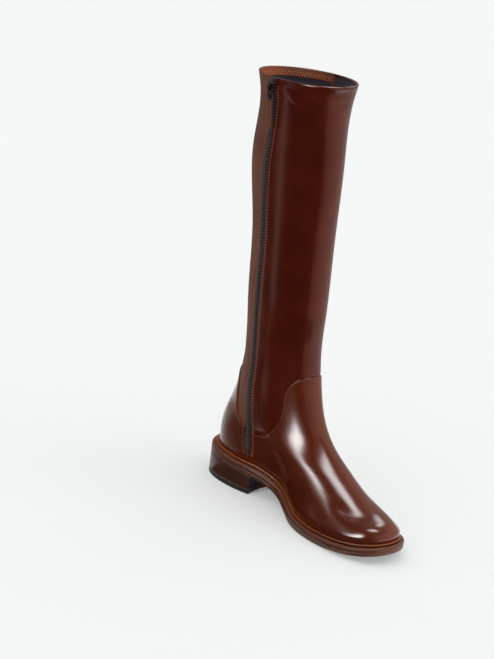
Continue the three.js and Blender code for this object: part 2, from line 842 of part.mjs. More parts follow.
const glossyCalf = { color: 0x4a170c, roughness: 0.25, metalness: 0 };
const stretchLeather = { color: 0x5f3426, roughness: 0.7, metalness: 0 };
const weltLeather = { color: 0x6a3a20, roughness: 0.5, metalness: 0 };
const soleLeather = { color: 0x3a241c, roughness: 0.55, metalness: 0 };
const stackedHeel = { color: 0x3c2a22, roughness: 0.45, metalness: 0 };
const blackRubber = { color: 0x15151a, roughness: 0.8, metalness: 0 };
const blackTape = { color: 0x1c1b1e, roughness: 0.85, metalness: 0 };
const darkMetal = { color: 0x3b383a, roughness: 0.35, metalness: 1 };
const insoleLeather = { color: 0x2a2426, roughness: 0.8, metalness: 0 };

// Facets thinner than the tolerance are left out of the finished solids
const sliverTolerance = 0.03;

function piece(name, solid, finish) {
  const closed = solid.isBufferGeometry ? toManifold(solid) : solid;
  const geometry = toGeometry(closed.simplify(sliverTolerance));
  const mesh = new THREE.Mesh(geometry, new THREE.MeshStandardMaterial(finish));
  mesh.name = name;
  return mesh;
}

// Assembly

const boot = new THREE.Group();
boot.add(
  piece("outsole", buildOutsole(), soleLeather),
  piece("heel_block", buildHeelBlock(), stackedHeel),
  piece("heel_top_piece", buildTopPiece(), blackRubber),
  piece("welt", buildWelt(), weltLeather),
  piece("insole", buildInsole(), insoleLeather),
  piece("upper", buildUpper(), glossyCalf),
  piece("back_panel", buildBackPanel(), stretchLeather),
  piece("zip_tape", buildZipTape(), blackTape),
  piece("zip_coil", buildZipCoil(), blackTape),
);

const slider = sliderFrame();
slider.add(piece("zip_slider", buildSlider(), darkMetal));
boot.add(slider);

// The pull hangs from its pin, in line with the leg under it
const pull = new THREE.Group();
const pullAxis = new THREE.Vector3();
const pullOut = new THREE.Vector3();
slider.matrix.extractBasis(pullAxis, new THREE.Vector3(), pullOut);
const pullReach = (pullTabLength + pullStripLength) / lastRise;
const pullRise = lastPoint(sliderUp, sliderTurn).sub(lastPoint(sliderUp - pullReach, sliderTurn));
pullRise.addScaledVector(pullAxis, -pullRise.dot(pullAxis)).normalize();
pull.matrixAutoUpdate = false;
pull.matrix.makeBasis(pullAxis, pullRise, pullAxis.clone().cross(pullRise));
pull.matrix.setPosition(
  new THREE.Vector3().setFromMatrixPosition(slider.matrix).addScaledVector(pullOut, pullAxisHeight),
);
pull.add(
  piece("zip_pull_tab", buildPullTab(), darkMetal),
  piece("zip_pull_strip", buildPullStrip(), stretchLeather),
);
boot.add(pull);

// The origin is under the middle of the boot, on the floor
boot.updateMatrixWorld(true);
const box = new THREE.Box3().setFromObject(boot, true);
boot.position.set(-(box.min.x + box.max.x) / 2, -(box.min.y + box.max.y) / 2, -box.min.z);
boot.updateMatrixWorld(true);

export default boot;
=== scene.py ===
"""Looks of a knee-high zip boot for the left foot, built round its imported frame.

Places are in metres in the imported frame: the toe points to -Y, the outer side of the foot is +X and the
floor is Z = 0. The last's sizes are in millimetres, as a boot maker gives them.
"""

import logging
import math
from dataclasses import dataclass
from enum import Enum
from typing import Callable, Sequence

import bmesh
import bpy
import numpy as np
from mathutils import Matrix, Vector


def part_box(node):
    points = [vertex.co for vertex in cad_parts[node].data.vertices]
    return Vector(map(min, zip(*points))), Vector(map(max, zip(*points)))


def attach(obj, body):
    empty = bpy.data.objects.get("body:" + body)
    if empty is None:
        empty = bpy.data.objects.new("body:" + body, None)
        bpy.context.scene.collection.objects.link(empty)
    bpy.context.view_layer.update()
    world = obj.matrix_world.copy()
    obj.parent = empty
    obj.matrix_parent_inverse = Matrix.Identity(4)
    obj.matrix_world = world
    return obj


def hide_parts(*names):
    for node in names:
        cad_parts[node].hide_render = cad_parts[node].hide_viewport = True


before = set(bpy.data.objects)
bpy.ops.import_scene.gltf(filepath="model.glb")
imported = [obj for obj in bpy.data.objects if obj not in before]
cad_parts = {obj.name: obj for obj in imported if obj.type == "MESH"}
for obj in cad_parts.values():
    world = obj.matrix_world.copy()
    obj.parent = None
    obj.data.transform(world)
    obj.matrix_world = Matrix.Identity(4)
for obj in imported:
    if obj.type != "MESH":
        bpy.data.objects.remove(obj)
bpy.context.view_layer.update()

log = logging.getLogger("boot")

Array = np.ndarray
Curve = Callable[[Array], Array]
Table = Sequence[tuple[float, float]]
Block = tuple[Array, list]
Piece = bpy.types.Object
Material = bpy.types.Material
Socket = bpy.types.NodeSocket

MM = 0.001


# ---------------------------------------------------------------- last


@dataclass(frozen=True)
class LastSizes:
    """Sizes of the last and the leg in millimetres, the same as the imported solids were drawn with."""

    length: float = 253.0
    ball_width: float = 78.5
    heel_width: float = 59.8
    inner_waist: float = 19.0
    outer_waist: float = 2.0
    throat_front: float = 149.6
    throat_back: float = 152.6
    leg_place: float = 62.0
    collar_front: float = 448.0
    collar_back: float = 437.5
    collar_depth: float = 118.6
    collar_width: float = 73.2
    throat_lean: float = 4.0
    collar_lean: float = -6.3
    seat_end: float = 0.24
    tread_start: float = 0.6
    tread_end: float = 0.7
    heel_height: float = 21.6
    seat_pitch: float = 4.0
    toe_spring: float = 10.0
    bead_rise: float = 4.6
    welt_edge: float = 3.0
    seam_gap: float = 0.3
    outsole_thickness: float = 3.9
    welt_width: float = 7.1

    @property
    def sole_stack(self) -> float:
        """Depth of the outsole's underside under the feather line."""
        return self.bead_rise + self.welt_edge + self.seam_gap + self.outsole_thickness


# front, its rise, back, its rise, heel in and out, ball in and out, waist, heel's and toe's bluntness, lean
FOOT_SECTIONS = (
    (0.994, 0.000, 0.003, 0.000, 0.468, 0.468, 0.454, 0.501, 1.00, 20.0, 9.0, 0.00),
    (1.000, 0.030, 0.008, 0.048, 0.490, 0.490, 0.480, 0.520, 0.91, 19.0, 9.0, 0.00),
    (0.990, 0.070, 0.006, 0.126, 0.500, 0.500, 0.467, 0.495, 0.77, 17.5, 8.0, 0.00),
    (0.960, 0.115, 0.005, 0.204, 0.500, 0.500, 0.435, 0.445, 0.62, 15.0, 7.0, 0.00),
    (0.877, 0.165, 0.006, 0.282, 0.492, 0.500, 0.411, 0.402, 0.48, 11.0, 5.5, 0.00),
    (0.790, 0.230, 0.013, 0.361, 0.490, 0.502, 0.398, 0.372, 0.34, 7.0, 4.0, 0.00),
    (0.699, 0.319, 0.023, 0.430, 0.484, 0.500, 0.389, 0.360, 0.15, 4.5, 3.0, 0.02),
    (0.616, 0.426, 0.033, 0.508, 0.470, 0.488, 0.372, 0.355, 0.05, 3.3, 2.3, 0.12),
    (0.554, 0.540, 0.042, 0.604, 0.468, 0.484, 0.366, 0.356, 0.00, 2.4, 1.8, 0.32),
    (0.510, 0.664, 0.046, 0.708, 0.472, 0.482, 0.364, 0.364, 0.00, 1.8, 1.5, 0.55),
    (0.478, 0.815, 0.048, 0.838, 0.466, 0.468, 0.356, 0.357, 0.00, 1.4, 1.25, 0.80),
)
WAIST_COLUMN = 8
ARCH_FADES_AT_ROW = 6
# rise, front, back, half the width, sway
LEG_SECTIONS = (
    (0.000, 0.436, -0.422, 0.381, 0.00),
    (0.200, 0.426, -0.454, 0.397, 0.20),
    (0.460, 0.424, -0.489, 0.406, 0.45),
    (0.721, 0.432, -0.574, 0.424, 0.71),
    (0.940, 0.434, -0.528, 0.478, 0.94),
    (1.000, 0.466, -0.562, 0.516, 1.00),
)


def smooth_step(value: Array) -> Array:
    """Eases a share from 0 to 1, level at both ends."""
    t = np.clip(value, 0.0, 1.0)
    return t * t * (3.0 - 2.0 * t)


def blend(start: Array, end: Array, share: Array) -> Array:
    """Goes from start to end by a share."""
    return start + (end - start) * share


def bell(distance: Array, reach: float) -> Array:
    """Soft hump of height 1 that runs out over a reach."""
    return np.exp(-((distance / reach) ** 2))


def level(value: float) -> Curve:
    """Makes a curve that keeps one value."""
    return lambda at: value + 0 * at


def unit(vectors: Array) -> Array:
    """Directions of vectors."""
    return vectors / np.maximum(np.linalg.norm(vectors, axis=-1, keepdims=True), 1e-12)


def natural_spline(knots: Array, values: Array) -> Curve:
    """Makes a natural cubic spline.

    Args:
        knots: Rising places of the given values.
        values: One row of values per knot.

    Returns:
        A function of an array of places, with one row of values for each.
    """
    count = len(knots)
    step = np.diff(knots)
    slope = np.diff(values, axis=0) / step[:, None]
    system = np.eye(count)
    right = np.zeros_like(values)
    for i in range(1, count - 1):
        system[i, i - 1 : i + 2] = step[i - 1], 2 * (step[i - 1] + step[i]), step[i]
        right[i] = 6 * (slope[i] - slope[i - 1])
    bend = np.linalg.solve(system, right)

    def curve(at: Array) -> Array:
        """Rows of values at places."""
        i = np.clip(np.searchsorted(knots, at) - 1, 0, count - 2)
        b = ((at - knots[i]) / step[i])[..., None]
        a = 1 - b
        cubic = ((a**3 - a) * bend[i] + (b**3 - b) * bend[i + 1]) * step[i][..., None] ** 2 / 6
        return a * values[i] + b * values[i + 1] + cubic

    return curve


def rising_curve(rows: Table) -> Curve:
    """Makes a cubic curve through given values that doesn't overshoot between them.

    Args:
        rows: Rising places with their values.

    Returns:
        A function of an array of places; beyond the ends it keeps the end slopes.
    """
    x, y = np.array(rows).T
    width = np.diff(x)
    slope = np.diff(y) / width
    weight_a = 2 * width[1:] + width[:-1]
    weight_b = width[1:] + 2 * width[:-1]
    with np.errstate(divide="ignore", invalid="ignore"):
        mean = (weight_a + weight_b) / (weight_a / slope[:-1] + weight_b / slope[1:])
    inner = np.where(slope[:-1] * slope[1:] > 0, mean, 0.0)
    tangent = np.concatenate([slope[:1], inner, slope[-1:]])

    def curve(at: Array) -> Array:
        """Values at places."""
        inside = np.clip(at, x[0], x[-1])
        i = np.clip(np.searchsorted(x, inside) - 1, 0, len(x) - 2)
        t = (inside - x[i]) / width[i]
        ease = t * t * (3 - 2 * t)
        bow = width[i] * (t * (1 - t) ** 2 * tangent[i] + t * t * (t - 1) * tangent[i + 1])
        beyond = np.where(at < x[0], (at - x[0]) * tangent[0], (at - x[-1]) * tangent[-1])
        return blend(y[i], y[i + 1], ease) + bow + np.where(at == inside, 0.0, beyond)

    return curve


class Last:
    """The surface that the boot's pieces are drawn over, from tilted sections.

    up goes from 0 at the feather line to 1 at the collar. turn goes round a section: from the back along the
    outer side to the front, and back along the inner side.
    """

    NAMES = (
        "front front_z back back_z heel_in heel_out ball_in ball_out waist_in waist_out heel_blunt toe_blunt lean"
    ).split()
    WIDENS_FROM, WIDENS_OVER = 0.15, 0.5
    WAIST_AT, WAIST_REACH = 0.42, 0.16
    SEAT_CURVE = 1.5

    def __init__(self, sizes: LastSizes) -> None:
        """Draws the sections from the sizes."""
        self.sizes = sizes
        self.seat_feather = sizes.sole_stack + sizes.heel_height + sizes.seat_pitch
        self.toe_feather = sizes.sole_stack + sizes.toe_spring
        rows = np.concatenate([self._foot_rows(), self._leg_rows()])
        front_step = np.hypot(np.diff(rows[:, 0]), np.diff(rows[:, 1]))
        back_step = np.hypot(np.diff(rows[:, 2]), np.diff(rows[:, 3]))
        knots = np.concatenate([[0.0], np.cumsum((front_step + back_step) / 2)])
        self.rise = float(knots[-1])
        self.fade_up = float(knots[ARCH_FADES_AT_ROW] / self.rise)
        self._curve = natural_spline(knots, rows)
        self.shift = np.zeros(3)

    def _foot_rows(self) -> Array:
        """The foot's table in millimetres: each column goes from its low to its high size by a share."""
        s = self.sizes
        shares = np.array(FOOT_SECTIONS)
        shares = np.insert(shares, WAIST_COLUMN, shares[:, WAIST_COLUMN], axis=1)
        low = (0, self.toe_feather, 0, self.seat_feather, *(0,) * 9)
        high = (s.length, s.throat_front, s.length, s.throat_back, s.heel_width, s.heel_width)
        high += (s.ball_width, s.ball_width, s.inner_waist, s.outer_waist, 1, 1, s.throat_lean)
        return blend(np.array(low), np.array(high), shares)

    def _leg_rows(self) -> Array:
        """The leg's table in millimetres."""
        s = self.sizes
        rise, front, back, half, sway = np.array(LEG_SECTIONS).T
        zero, one = 0 * rise, 0 * rise + 1
        columns = (
            s.leg_place + front * s.collar_depth,
            blend(s.throat_front, s.collar_front, rise),
            s.leg_place + back * s.collar_depth,
            blend(s.throat_back, s.collar_back, rise),
            *(half * s.collar_width,) * 4,
            *(zero, zero, one, one),
            blend(s.throat_lean, s.collar_lean, sway),
        )
        return np.stack(columns, 1)

    def feather_height(self, along: Array) -> Array:
        """Height of the feather line: pitched seat, arch, flat tread and toe spring."""
        s = self.sizes
        share = along / s.length
        pitch = s.seat_pitch * np.maximum(0.0, 1 - share / s.seat_end) ** self.SEAT_CURVE
        arch = smooth_step((share - s.seat_end) / (s.tread_start - s.seat_end))
        spring = np.maximum(0.0, (share - s.tread_end) / (1 - s.tread_end))
        return s.sole_stack + s.heel_height * (1 - arch) + pitch + s.toe_spring * spring**2

    def point(self, up: Array, turn: Array) -> Array:
        """Points of the surface in millimetres.

        Args:
            up: Shares of the way from the feather line to the collar.
            turn: Shares of the way round the section.

        Returns:
            An array of points, with x outwards, y backwards from the toe's side and z up.
        """
        up, turn = np.broadcast_arrays(np.asarray(up, float), np.mod(turn, 1.0))
        values = self._curve(up * self.rise)
        s = {name: values[..., i] for i, name in enumerate(self.NAMES)}
        heel_blunt, toe_blunt = np.maximum(1.0, s["heel_blunt"]), np.maximum(1.0, s["toe_blunt"])
        outer = turn < 0.5
        across = across_of(turn)
        ends = (1 - (1 - across) ** heel_blunt) * (1 - across**toe_blunt)
        middle = (1 - 0.5**heel_blunt) * (1 - 0.5**toe_blunt)
        heel, ball, waist = (np.where(outer, s[f"{at}_out"], s[f"{at}_in"]) for at in ("heel", "ball", "waist"))
        widening = smooth_step((across - self.WIDENS_FROM) / self.WIDENS_OVER)
        pinch = waist * bell(across - self.WAIST_AT, self.WAIST_REACH)
        half = (blend(heel, ball, widening) - pinch) * np.sqrt(np.maximum(0.0, ends / middle))
        along = blend(s["back"], s["front"], across)
        chord = blend(s["back_z"], s["front_z"], across)
        straight = blend(self.seat_feather, self.toe_feather, across)
        fade = smooth_step(1 - up / self.fade_up)
        height = chord + fade * (self.feather_height(along) - straight)
        return np.stack([s["lean"] + np.where(outer, half, -half), -along, height], -1)

    def normal(self, up: Array, turn: Array, step: float = 0.004) -> Array:
        """Outward directions of the surface, from points a step away."""
        low, high = np.maximum(0.0, up - step), np.minimum(1.0, up + step)
        rise = self.point(high, turn) - self.point(low, turn)
        around = self.point(up, turn + step) - self.point(up, turn - step)
        return unit(np.cross(rise, around))

    def skin(self, up: Array, turn: Array, depth: Array) -> Array:
        """Points at a depth outwards from the surface, in millimetres."""
        return self.point(up, turn) + self.normal(up, turn) * np.asarray(depth, float)[..., None]

    def feather(self, turn: Array, grow: float, below: float) -> Array:
        """Points on the feather line grown outwards in plan and lowered, in millimetres."""
        flat = np.array([1.0, 1.0, 0.0])
        point = self.point(0 * turn, turn) + unit(self.normal(0 * turn, turn) * flat) * grow
        point[..., 2] = self.feather_height(-point[..., 1]) - below
        return point

    def placed(self, points: Array) -> Array:
        """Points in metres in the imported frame."""
        return (points + self.shift) * MM


# ---------------------------------------------------------------- seams

# How far up, and the share of the way from the back to the front
ZIP_ROWS = (
    (0.012, 0.236), (0.050, 0.240), (0.100, 0.264), (0.200, 0.305), (0.300, 0.322),
    (0.450, 0.345), (0.650, 0.356), (0.850, 0.390), (1.000, 0.415),
)  # fmt: skip
OUTER_ROWS = (
    (0.090, 0.262), (0.200, 0.320), (0.300, 0.352), (0.450, 0.385), (0.650, 0.415), (0.850, 0.456), (1.000, 0.495),
)  # fmt: skip
# The share of the way from the back to the front, and how far up
FOOT_EDGE_ROWS = (
    (0.000, 0.2750), (0.040, 0.2680), (0.078, 0.2480), (0.108, 0.2180), (0.135, 0.1840), (0.170, 0.1380),
    (0.215, 0.1120), (0.275, 0.1020), (0.350, 0.1120), (0.410, 0.1300), (0.480, 0.1550), (0.568, 0.1860),
    (0.645, 0.2130), (0.715, 0.2420), (0.752, 0.2680), (0.770, 0.2890), (0.800, 0.3070), (0.865, 0.3240),
    (0.940, 0.3370), (1.000, 0.3425),
)  # fmt: skip
# How far up, and half the width of the zip's opening in millimetres: a spear over its pointed lower end
OPENING_ROWS = (
    (0.012, 0.0), (0.0145, 1.3), (0.019, 2.6), (0.026, 3.7), (0.038, 4.6), (0.054, 4.9), (0.075, 4.5), (0.105, 4.0),
)  # fmt: skip


def across_of(turn: Array) -> Array:
    """Share of the way from the back profile to the front profile at a turn."""
    return (1 - np.cos(2 * np.pi * turn)) / 2


def outer_turn(across: Array) -> Array:
    """Turn on the outer side at a share of the way from back to front."""
    return np.arccos(np.clip(1 - 2 * across, -1, 1)) / (2 * np.pi)


class Seams:
    """The lines on the boot where its pieces meet."""

    def __init__(self, last: Last) -> None:
        """Draws the seam lines from their tables."""
        self.last = last
        self._zip, self._outer, self._foot = map(rising_curve, (ZIP_ROWS, OUTER_ROWS, FOOT_EDGE_ROWS))

    def zip_turn(self, up: Array) -> Array:
        """Turn of the zip's middle line on the inner side."""
        return 1 - outer_turn(self._zip(up))

    def outer_seam(self, up: Array) -> Array:
        """Turn of the side seam on the outer side."""
        return outer_turn(self._outer(up))

    def foot_edge(self, turn: Array) -> Array:
        """How far up the foot leather reaches, as the vamp in front and the counter behind."""
        return self._foot(across_of(turn))

    def half_opening(self, up: Array) -> Array:
        """Half the width of the zip's opening in millimetres."""
        return np.interp(up, *np.array(OPENING_ROWS).T)

    def beside(self, up: Array, turn: Array, distance: Array, step: float = 0.002) -> Array:
        """Turn at a distance in millimetres further round than a turn."""
        speed = np.linalg.norm(self.last.point(up, turn + step) - self.last.point(up, turn - step), axis=-1)
        return turn + distance / (speed / (2 * step))

    def beside_zip(self, up: Array, distance: Array) -> Array:
        """Turn at a distance in millimetres behind the zip's middle line, or in front where it is negative."""
        return self.beside(up, self.zip_turn(up), distance)

    def beside_outer(self, up: Array, distance: Array) -> Array:
        """Turn at a distance in millimetres in front of the side seam, or behind where it is negative."""
        return self.beside(up, self.outer_seam(up), distance)


# ---------------------------------------------------------------- meshes

FINE_EDGE = (0.0, 0.06, 0.2, 0.45, 0.8, 1.3, 2.0)
DOUBLED, DEGENERATE = 2e-6, 1e-7
SHARP_ANGLE = math.radians(40)


def edge_steps(length: float, step: float, fine: Sequence[float] = FINE_EDGE, low: bool = True) -> Array:
    """Shares of a length, close together at its ends for rolled edges.

    Args:
        length: Length in millimetres.
        step: Distance between the steps in the middle.
        fine: Distances of the close steps from an end.
        low: Whether the start has the close steps too.

    Returns:
        Rising shares from 0 to 1.
    """
    start = list(fine) if low else [0.0]
    end = [length - distance for distance in reversed(fine)]
    count = max(1, int(round((end[0] - start[-1]) / step)))
    middle = np.linspace(start[-1], end[0], count + 1)[1:-1]
    return np.concatenate([start, middle, end]) / length


def rolled(radius: float, *distances: Array) -> Array:
    """Share of the half thickness at distances from a piece's rolled edges."""
    inside = np.clip(np.minimum.reduce(distances) / radius, 0.0, 1.0)
    return np.sqrt(np.maximum(0.0, 1 - (1 - inside) ** 2))


def full_turn(count: int) -> Array:
    """Angles spread evenly round a circle, without the last that meets the first."""
    return np.arange(count) / count * 2 * np.pi


def lengths_along(points: Array, axis: int) -> Array:
    """Running length of a grid of points along one of its axes."""
    steps = np.linalg.norm(np.diff(points, axis=axis), axis=-1)
    start = np.zeros_like(np.take(steps, [0], axis=axis))
    return np.concatenate([start, np.cumsum(steps, axis=axis)], axis=axis)


def wrapped(grid: Array) -> Array:
    """Places of a grid's points on the flat cut, from its first row and column."""
    return np.stack([lengths_along(grid, 1), lengths_along(grid, 0)], -1).reshape(-1, 2)


def linked(name: str, mesh: bpy.types.Mesh) -> Piece:
    """Shades a mesh smooth and puts it in the scene."""
    mesh.polygons.foreach_set("use_smooth", [True] * len(mesh.polygons))
    mesh.update()
    made = bpy.data.objects.new(name, mesh)
    bpy.context.scene.collection.objects.link(made)
    return made


def mesh_object(name: str, points: Array, faces: Array, uv: Array, caps: Sequence[list[int]] = ()) -> Piece:
    """Makes a smooth mesh object.

    Args:
        name: Name of the piece.
        points: Its vertices in metres, as a list or a grid.
        faces: Quads of vertex numbers.
        uv: One place on the flat cut per vertex, in metres.
        caps: Further faces with more corners.

    Returns:
        The object, linked to the scene, with doubled vertices joined.
    """
    mesh = bpy.data.meshes.new(name)
    mesh.from_pydata(points.reshape(-1, 3).tolist(), [], faces.tolist() + list(caps))
    layer = mesh.uv_layers.new(name="cut")
    corner = np.empty(len(mesh.loops), int)
    mesh.loops.foreach_get("vertex_index", corner)
    layer.data.foreach_set("uv", uv[corner].astype(np.float32).ravel())
    work = bmesh.new()
    work.from_mesh(mesh)
    bmesh.ops.remove_doubles(work, verts=work.verts, dist=DOUBLED)
    bmesh.ops.dissolve_degenerate(work, edges=work.edges, dist=DEGENERATE)
    work.to_mesh(mesh)
    work.free()
    return linked(name, mesh)


def grid_faces(rows: int, columns: int, first: int = 0, flip: bool = False) -> Array:
    """Quads of a grid of vertices, which face along rows x columns unless flipped."""
    index = first + np.arange(rows * columns).reshape(rows, columns)
    a, b, c, d = index[:-1, :-1], index[1:, :-1], index[1:, 1:], index[:-1, 1:]
    return np.stack((a, d, c, b) if flip else (a, b, c, d), -1).reshape(-1, 4)


def shell(name: str, outer: Array, inner: Array, height: Array | None = None) -> Piece:
    """Makes a sheet with a real thickness from its outer and inner grid.

    Args:
        name: Name of the piece.
        outer: Rows and columns of points in metres, seen from outside.
        inner: The same for the other face.
        height: How far up its pattern each point is, in metres, where that isn't its distance from the first row.

    Returns:
        The sheet as a closed mesh object, with a pattern laid flat on it.
    """
    rows, columns = outer.shape[:2]
    count = rows * columns
    index = np.arange(count).reshape(rows, columns)
    faces = [grid_faces(rows, columns), grid_faces(rows, columns, count, flip=True)]
    for line in (index[0], index[-1, ::-1], index[::-1, 0], index[:, -1]):
        a, b = line[:-1], line[1:]
        faces.append(np.stack((b, a, a + count, b + count), -1))
    up = lengths_along(outer, 0) if height is None else height
    around = lengths_along(outer, 1)
    around = around - around[:, columns // 2][:, None]
    place = np.stack([around, up], -1).reshape(-1, 2)
    return mesh_object(name, np.stack([outer, inner]), np.concatenate(faces), np.concatenate([place, place]))


def ring_stack(name: str, rings: Array) -> Piece:
    """Joins closed rings of points in metres, which go round a closed profile from its outside."""
    stack = np.concatenate([rings[::-1], rings[-1:]])
    stack = np.concatenate([stack, stack[:, :1]], axis=1)
    return mesh_object(name, stack, grid_faces(*stack.shape[:2]), wrapped(stack))


def tubes(name: str, paths: Array, lift: Array, radius: Array, sides: int = 6) -> Piece:
    """Makes many short threads or bars of one kind.

    Args:
        name: Name of the piece.
        paths: Tubes, points along each, and places in metres.
        lift: One outward direction per point.
        radius: Radius at each point along, in metres.
        sides: Sides of each tube.

    Returns:
        One mesh object that holds all of them.
    """
    along = unit(np.gradient(paths, axis=1))
    side = unit(np.cross(along, lift))
    top = np.cross(side, along)
    angle = np.append(full_turn(sides), 2 * np.pi)
    circle = np.cos(angle)[:, None] * side[:, :, None, :] + np.sin(angle)[:, None] * top[:, :, None, :]
    points = paths[:, :, None, :] + circle * radius[None, :, None, None]
    number, steps, around = points.shape[:3]
    one = grid_faces(steps, around, flip=True)
    faces = (one[None] + (np.arange(number) * steps * around)[:, None, None]).reshape(-1, 4)
    uv = np.stack(np.broadcast_arrays(lengths_along(paths, 1)[..., None], angle * 1e-4), -1).reshape(-1, 2)
    return mesh_object(name, points, faces, uv)


def cap_grid(ring: Array, cross: int) -> Array:
    """Spans a closed ring that is the same on both sides, from its back to its front.

    Args:
        ring: An even number of points that starts at the back and goes round the outer side.
        cross: Points added between the two sides.

    Returns:
        Rows of points, from the back to the front, each from the outer to the inner side.
    """
    half = len(ring) // 2
    inner = np.concatenate([ring[:1], ring[: half - 1 : -1]])
    return blend(ring[: half + 1, None], inner[:, None], np.linspace(0, 1, cross + 2)[None, :, None])


def slab(name: str, rings: Array, cross: int = 14) -> Piece:
    """Makes a plate from rings that go down its side, closed by a cap above and below.

    Args:
        name: Name of the piece.
        rings: Rings of points in metres, from the top's edge to the underside's edge.
        cross: Points added across the caps.

    Returns:
        The plate as a closed mesh object.
    """
    side = np.concatenate([rings, rings[:, :1]], axis=1)[::-1]
    parts = [side, cap_grid(rings[0], cross), cap_grid(rings[-1], cross)]
    points, faces, first = [], [], 0
    for part, flip in zip(parts, (False, True, False)):
        faces.append(grid_faces(*part.shape[:2], first, flip))
        points.append(part.reshape(-1, 3))
        first += len(points[-1])
    uv = np.concatenate([wrapped(side), points[1][:, :2], points[2][:, :2]])
    return mesh_object(name, np.concatenate(points), np.concatenate(faces), uv)


def oblong(x0: float, x1: float, y0: float, y1: float) -> list[tuple[float, float]]:
    """Corners of an oblong, anticlockwise."""
    return [(x0, y0), (x1, y0), (x1, y1), (x0, y1)]


def extruded(outline: Table, low: float, high: float, bevel: float) -> Block:
    """Draws a small block from a flat outline, with bevelled edges.

    Args:
        outline: Corners in millimetres, anticlockwise.
        low: Height of the underside.
        high: Height of the top.
        bevel: Width of the bevel on every edge.

    Returns:
        Its points in millimetres and its faces as lists of vertex numbers.
    """
    work = bmesh.new()
    base, top = ([work.verts.new((x, y, z)) for x, y in outline] for z in (low, high))
    work.faces.new(base[::-1])
    work.faces.new(top)
    for i, corner in enumerate(base):
        after = (i + 1) % len(base)
        work.faces.new((corner, base[after], top[after], top[i]))
    bmesh.ops.bevel(work, geom=list(work.edges), offset=bevel, segments=3, profile=0.5, affect="EDGES")
    work.verts.ensure_lookup_table()
    work.verts.index_update()
    points = np.array([vert.co[:] for vert in work.verts])
    faces = [[vert.index for vert in face.verts] for face in work.faces]
    work.free()
    return points, faces


def joined(name: str, blocks: Sequence[Block], place: Curve) -> Piece:
    """Makes one object of several small blocks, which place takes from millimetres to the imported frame."""
    faces, first = [], 0
    for points, block_faces in blocks:
        faces += [[first + corner for corner in face] for face in block_faces]
        first += len(points)
    mesh = bpy.data.meshes.new(name)
    mesh.from_pydata(place(np.concatenate([points for points, _ in blocks])).tolist(), [], faces)
    made = linked(name, mesh)
    mesh.set_sharp_from_angle(angle=SHARP_ANGLE)
    return made


# ---------------------------------------------------------------- stitches


@dataclass(frozen=True)
class Stitch:
    """One kind of stitch, in millimetres."""

    pitch: float
    length: float
    radius: float
    slant: float = 0.0
    rise: float = 0.12


FINE_STITCH = Stitch(2.2, 1.8, 0.17, rise=0.04)
WELT_STITCH = Stitch(2.4, 2.15, 0.17, rise=0.06)
STRIP_STITCH = Stitch(2.3, 1.4, 0.24, rise=0.08)
ZIGZAG_STITCH = Stitch(3.0, 1.3, 0.32, 1.2, 0.16)
FRONT_STITCH = Stitch(3.0, 0.8, 0.32, 1.2, 0.16)
REAR_STITCH = Stitch(3.0, 0.9, 0.26, 0.9, 0.1)
THREAD_TAPER = np.array([0.75, 1.0, 1.0, 1.05, 1.0, 1.0, 0.75])
THREAD_SINKS = 0.12


def sewn(name: str, points: Array, normals: Array, stitch: Stitch, zigzag: bool = False) -> Piece:
    """Sews a row of stitches along a line on the leather.

    Args:
        name: Name of the piece.
        points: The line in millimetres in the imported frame.
        normals: The leather's outward direction along it.
        stitch: Sizes of the stitches.
        zigzag: Whether the slant changes side from stitch to stitch.

    Returns:
        The stitches as one mesh object.
    """
    run = lengths_along(points, 0)
    count = int(run[-1] / stitch.pitch)
    centre = (np.arange(count) + 0.5) * (run[-1] / count)
    share = np.linspace(-0.5, 0.5, len(THREAD_TAPER))
    at = centre[:, None] + share[None, :] * stitch.length

    def sampled(values: Array) -> Array:
        """Rows of values at the stitches' points."""
        return np.stack([np.interp(at, run, values[:, i]) for i in range(3)], -1)

    out = unit(sampled(normals))
    side = unit(np.cross(out, sampled(np.gradient(points, run, axis=0))))
    lean = np.broadcast_to(share[None, :] * 2 * stitch.slant, at.shape)
    if zigzag:
        lean = lean * np.where(np.arange(count) % 2, 1.0, -1.0)[:, None]
    arch = stitch.rise - (stitch.rise + stitch.radius + THREAD_SINKS) * (2 * np.abs(share)) ** 3
    path = sampled(points) + side * lean[..., None] + out * arch[None, :, None]
    return tubes(name, path * MM, out, stitch.radius * THREAD_TAPER * MM)


# ---------------------------------------------------------------- folds


@dataclass(frozen=True)
class Fold:
    """One soft trough or ridge in the leather.

    path holds the (up, turn) places that its middle passes. width and depth are in millimetres; a depth
    below 0 is a trough. fade is the share of its length over which each end runs out.
    """

    path: Table
    width: float
    depth: float
    fade: float = 0.35


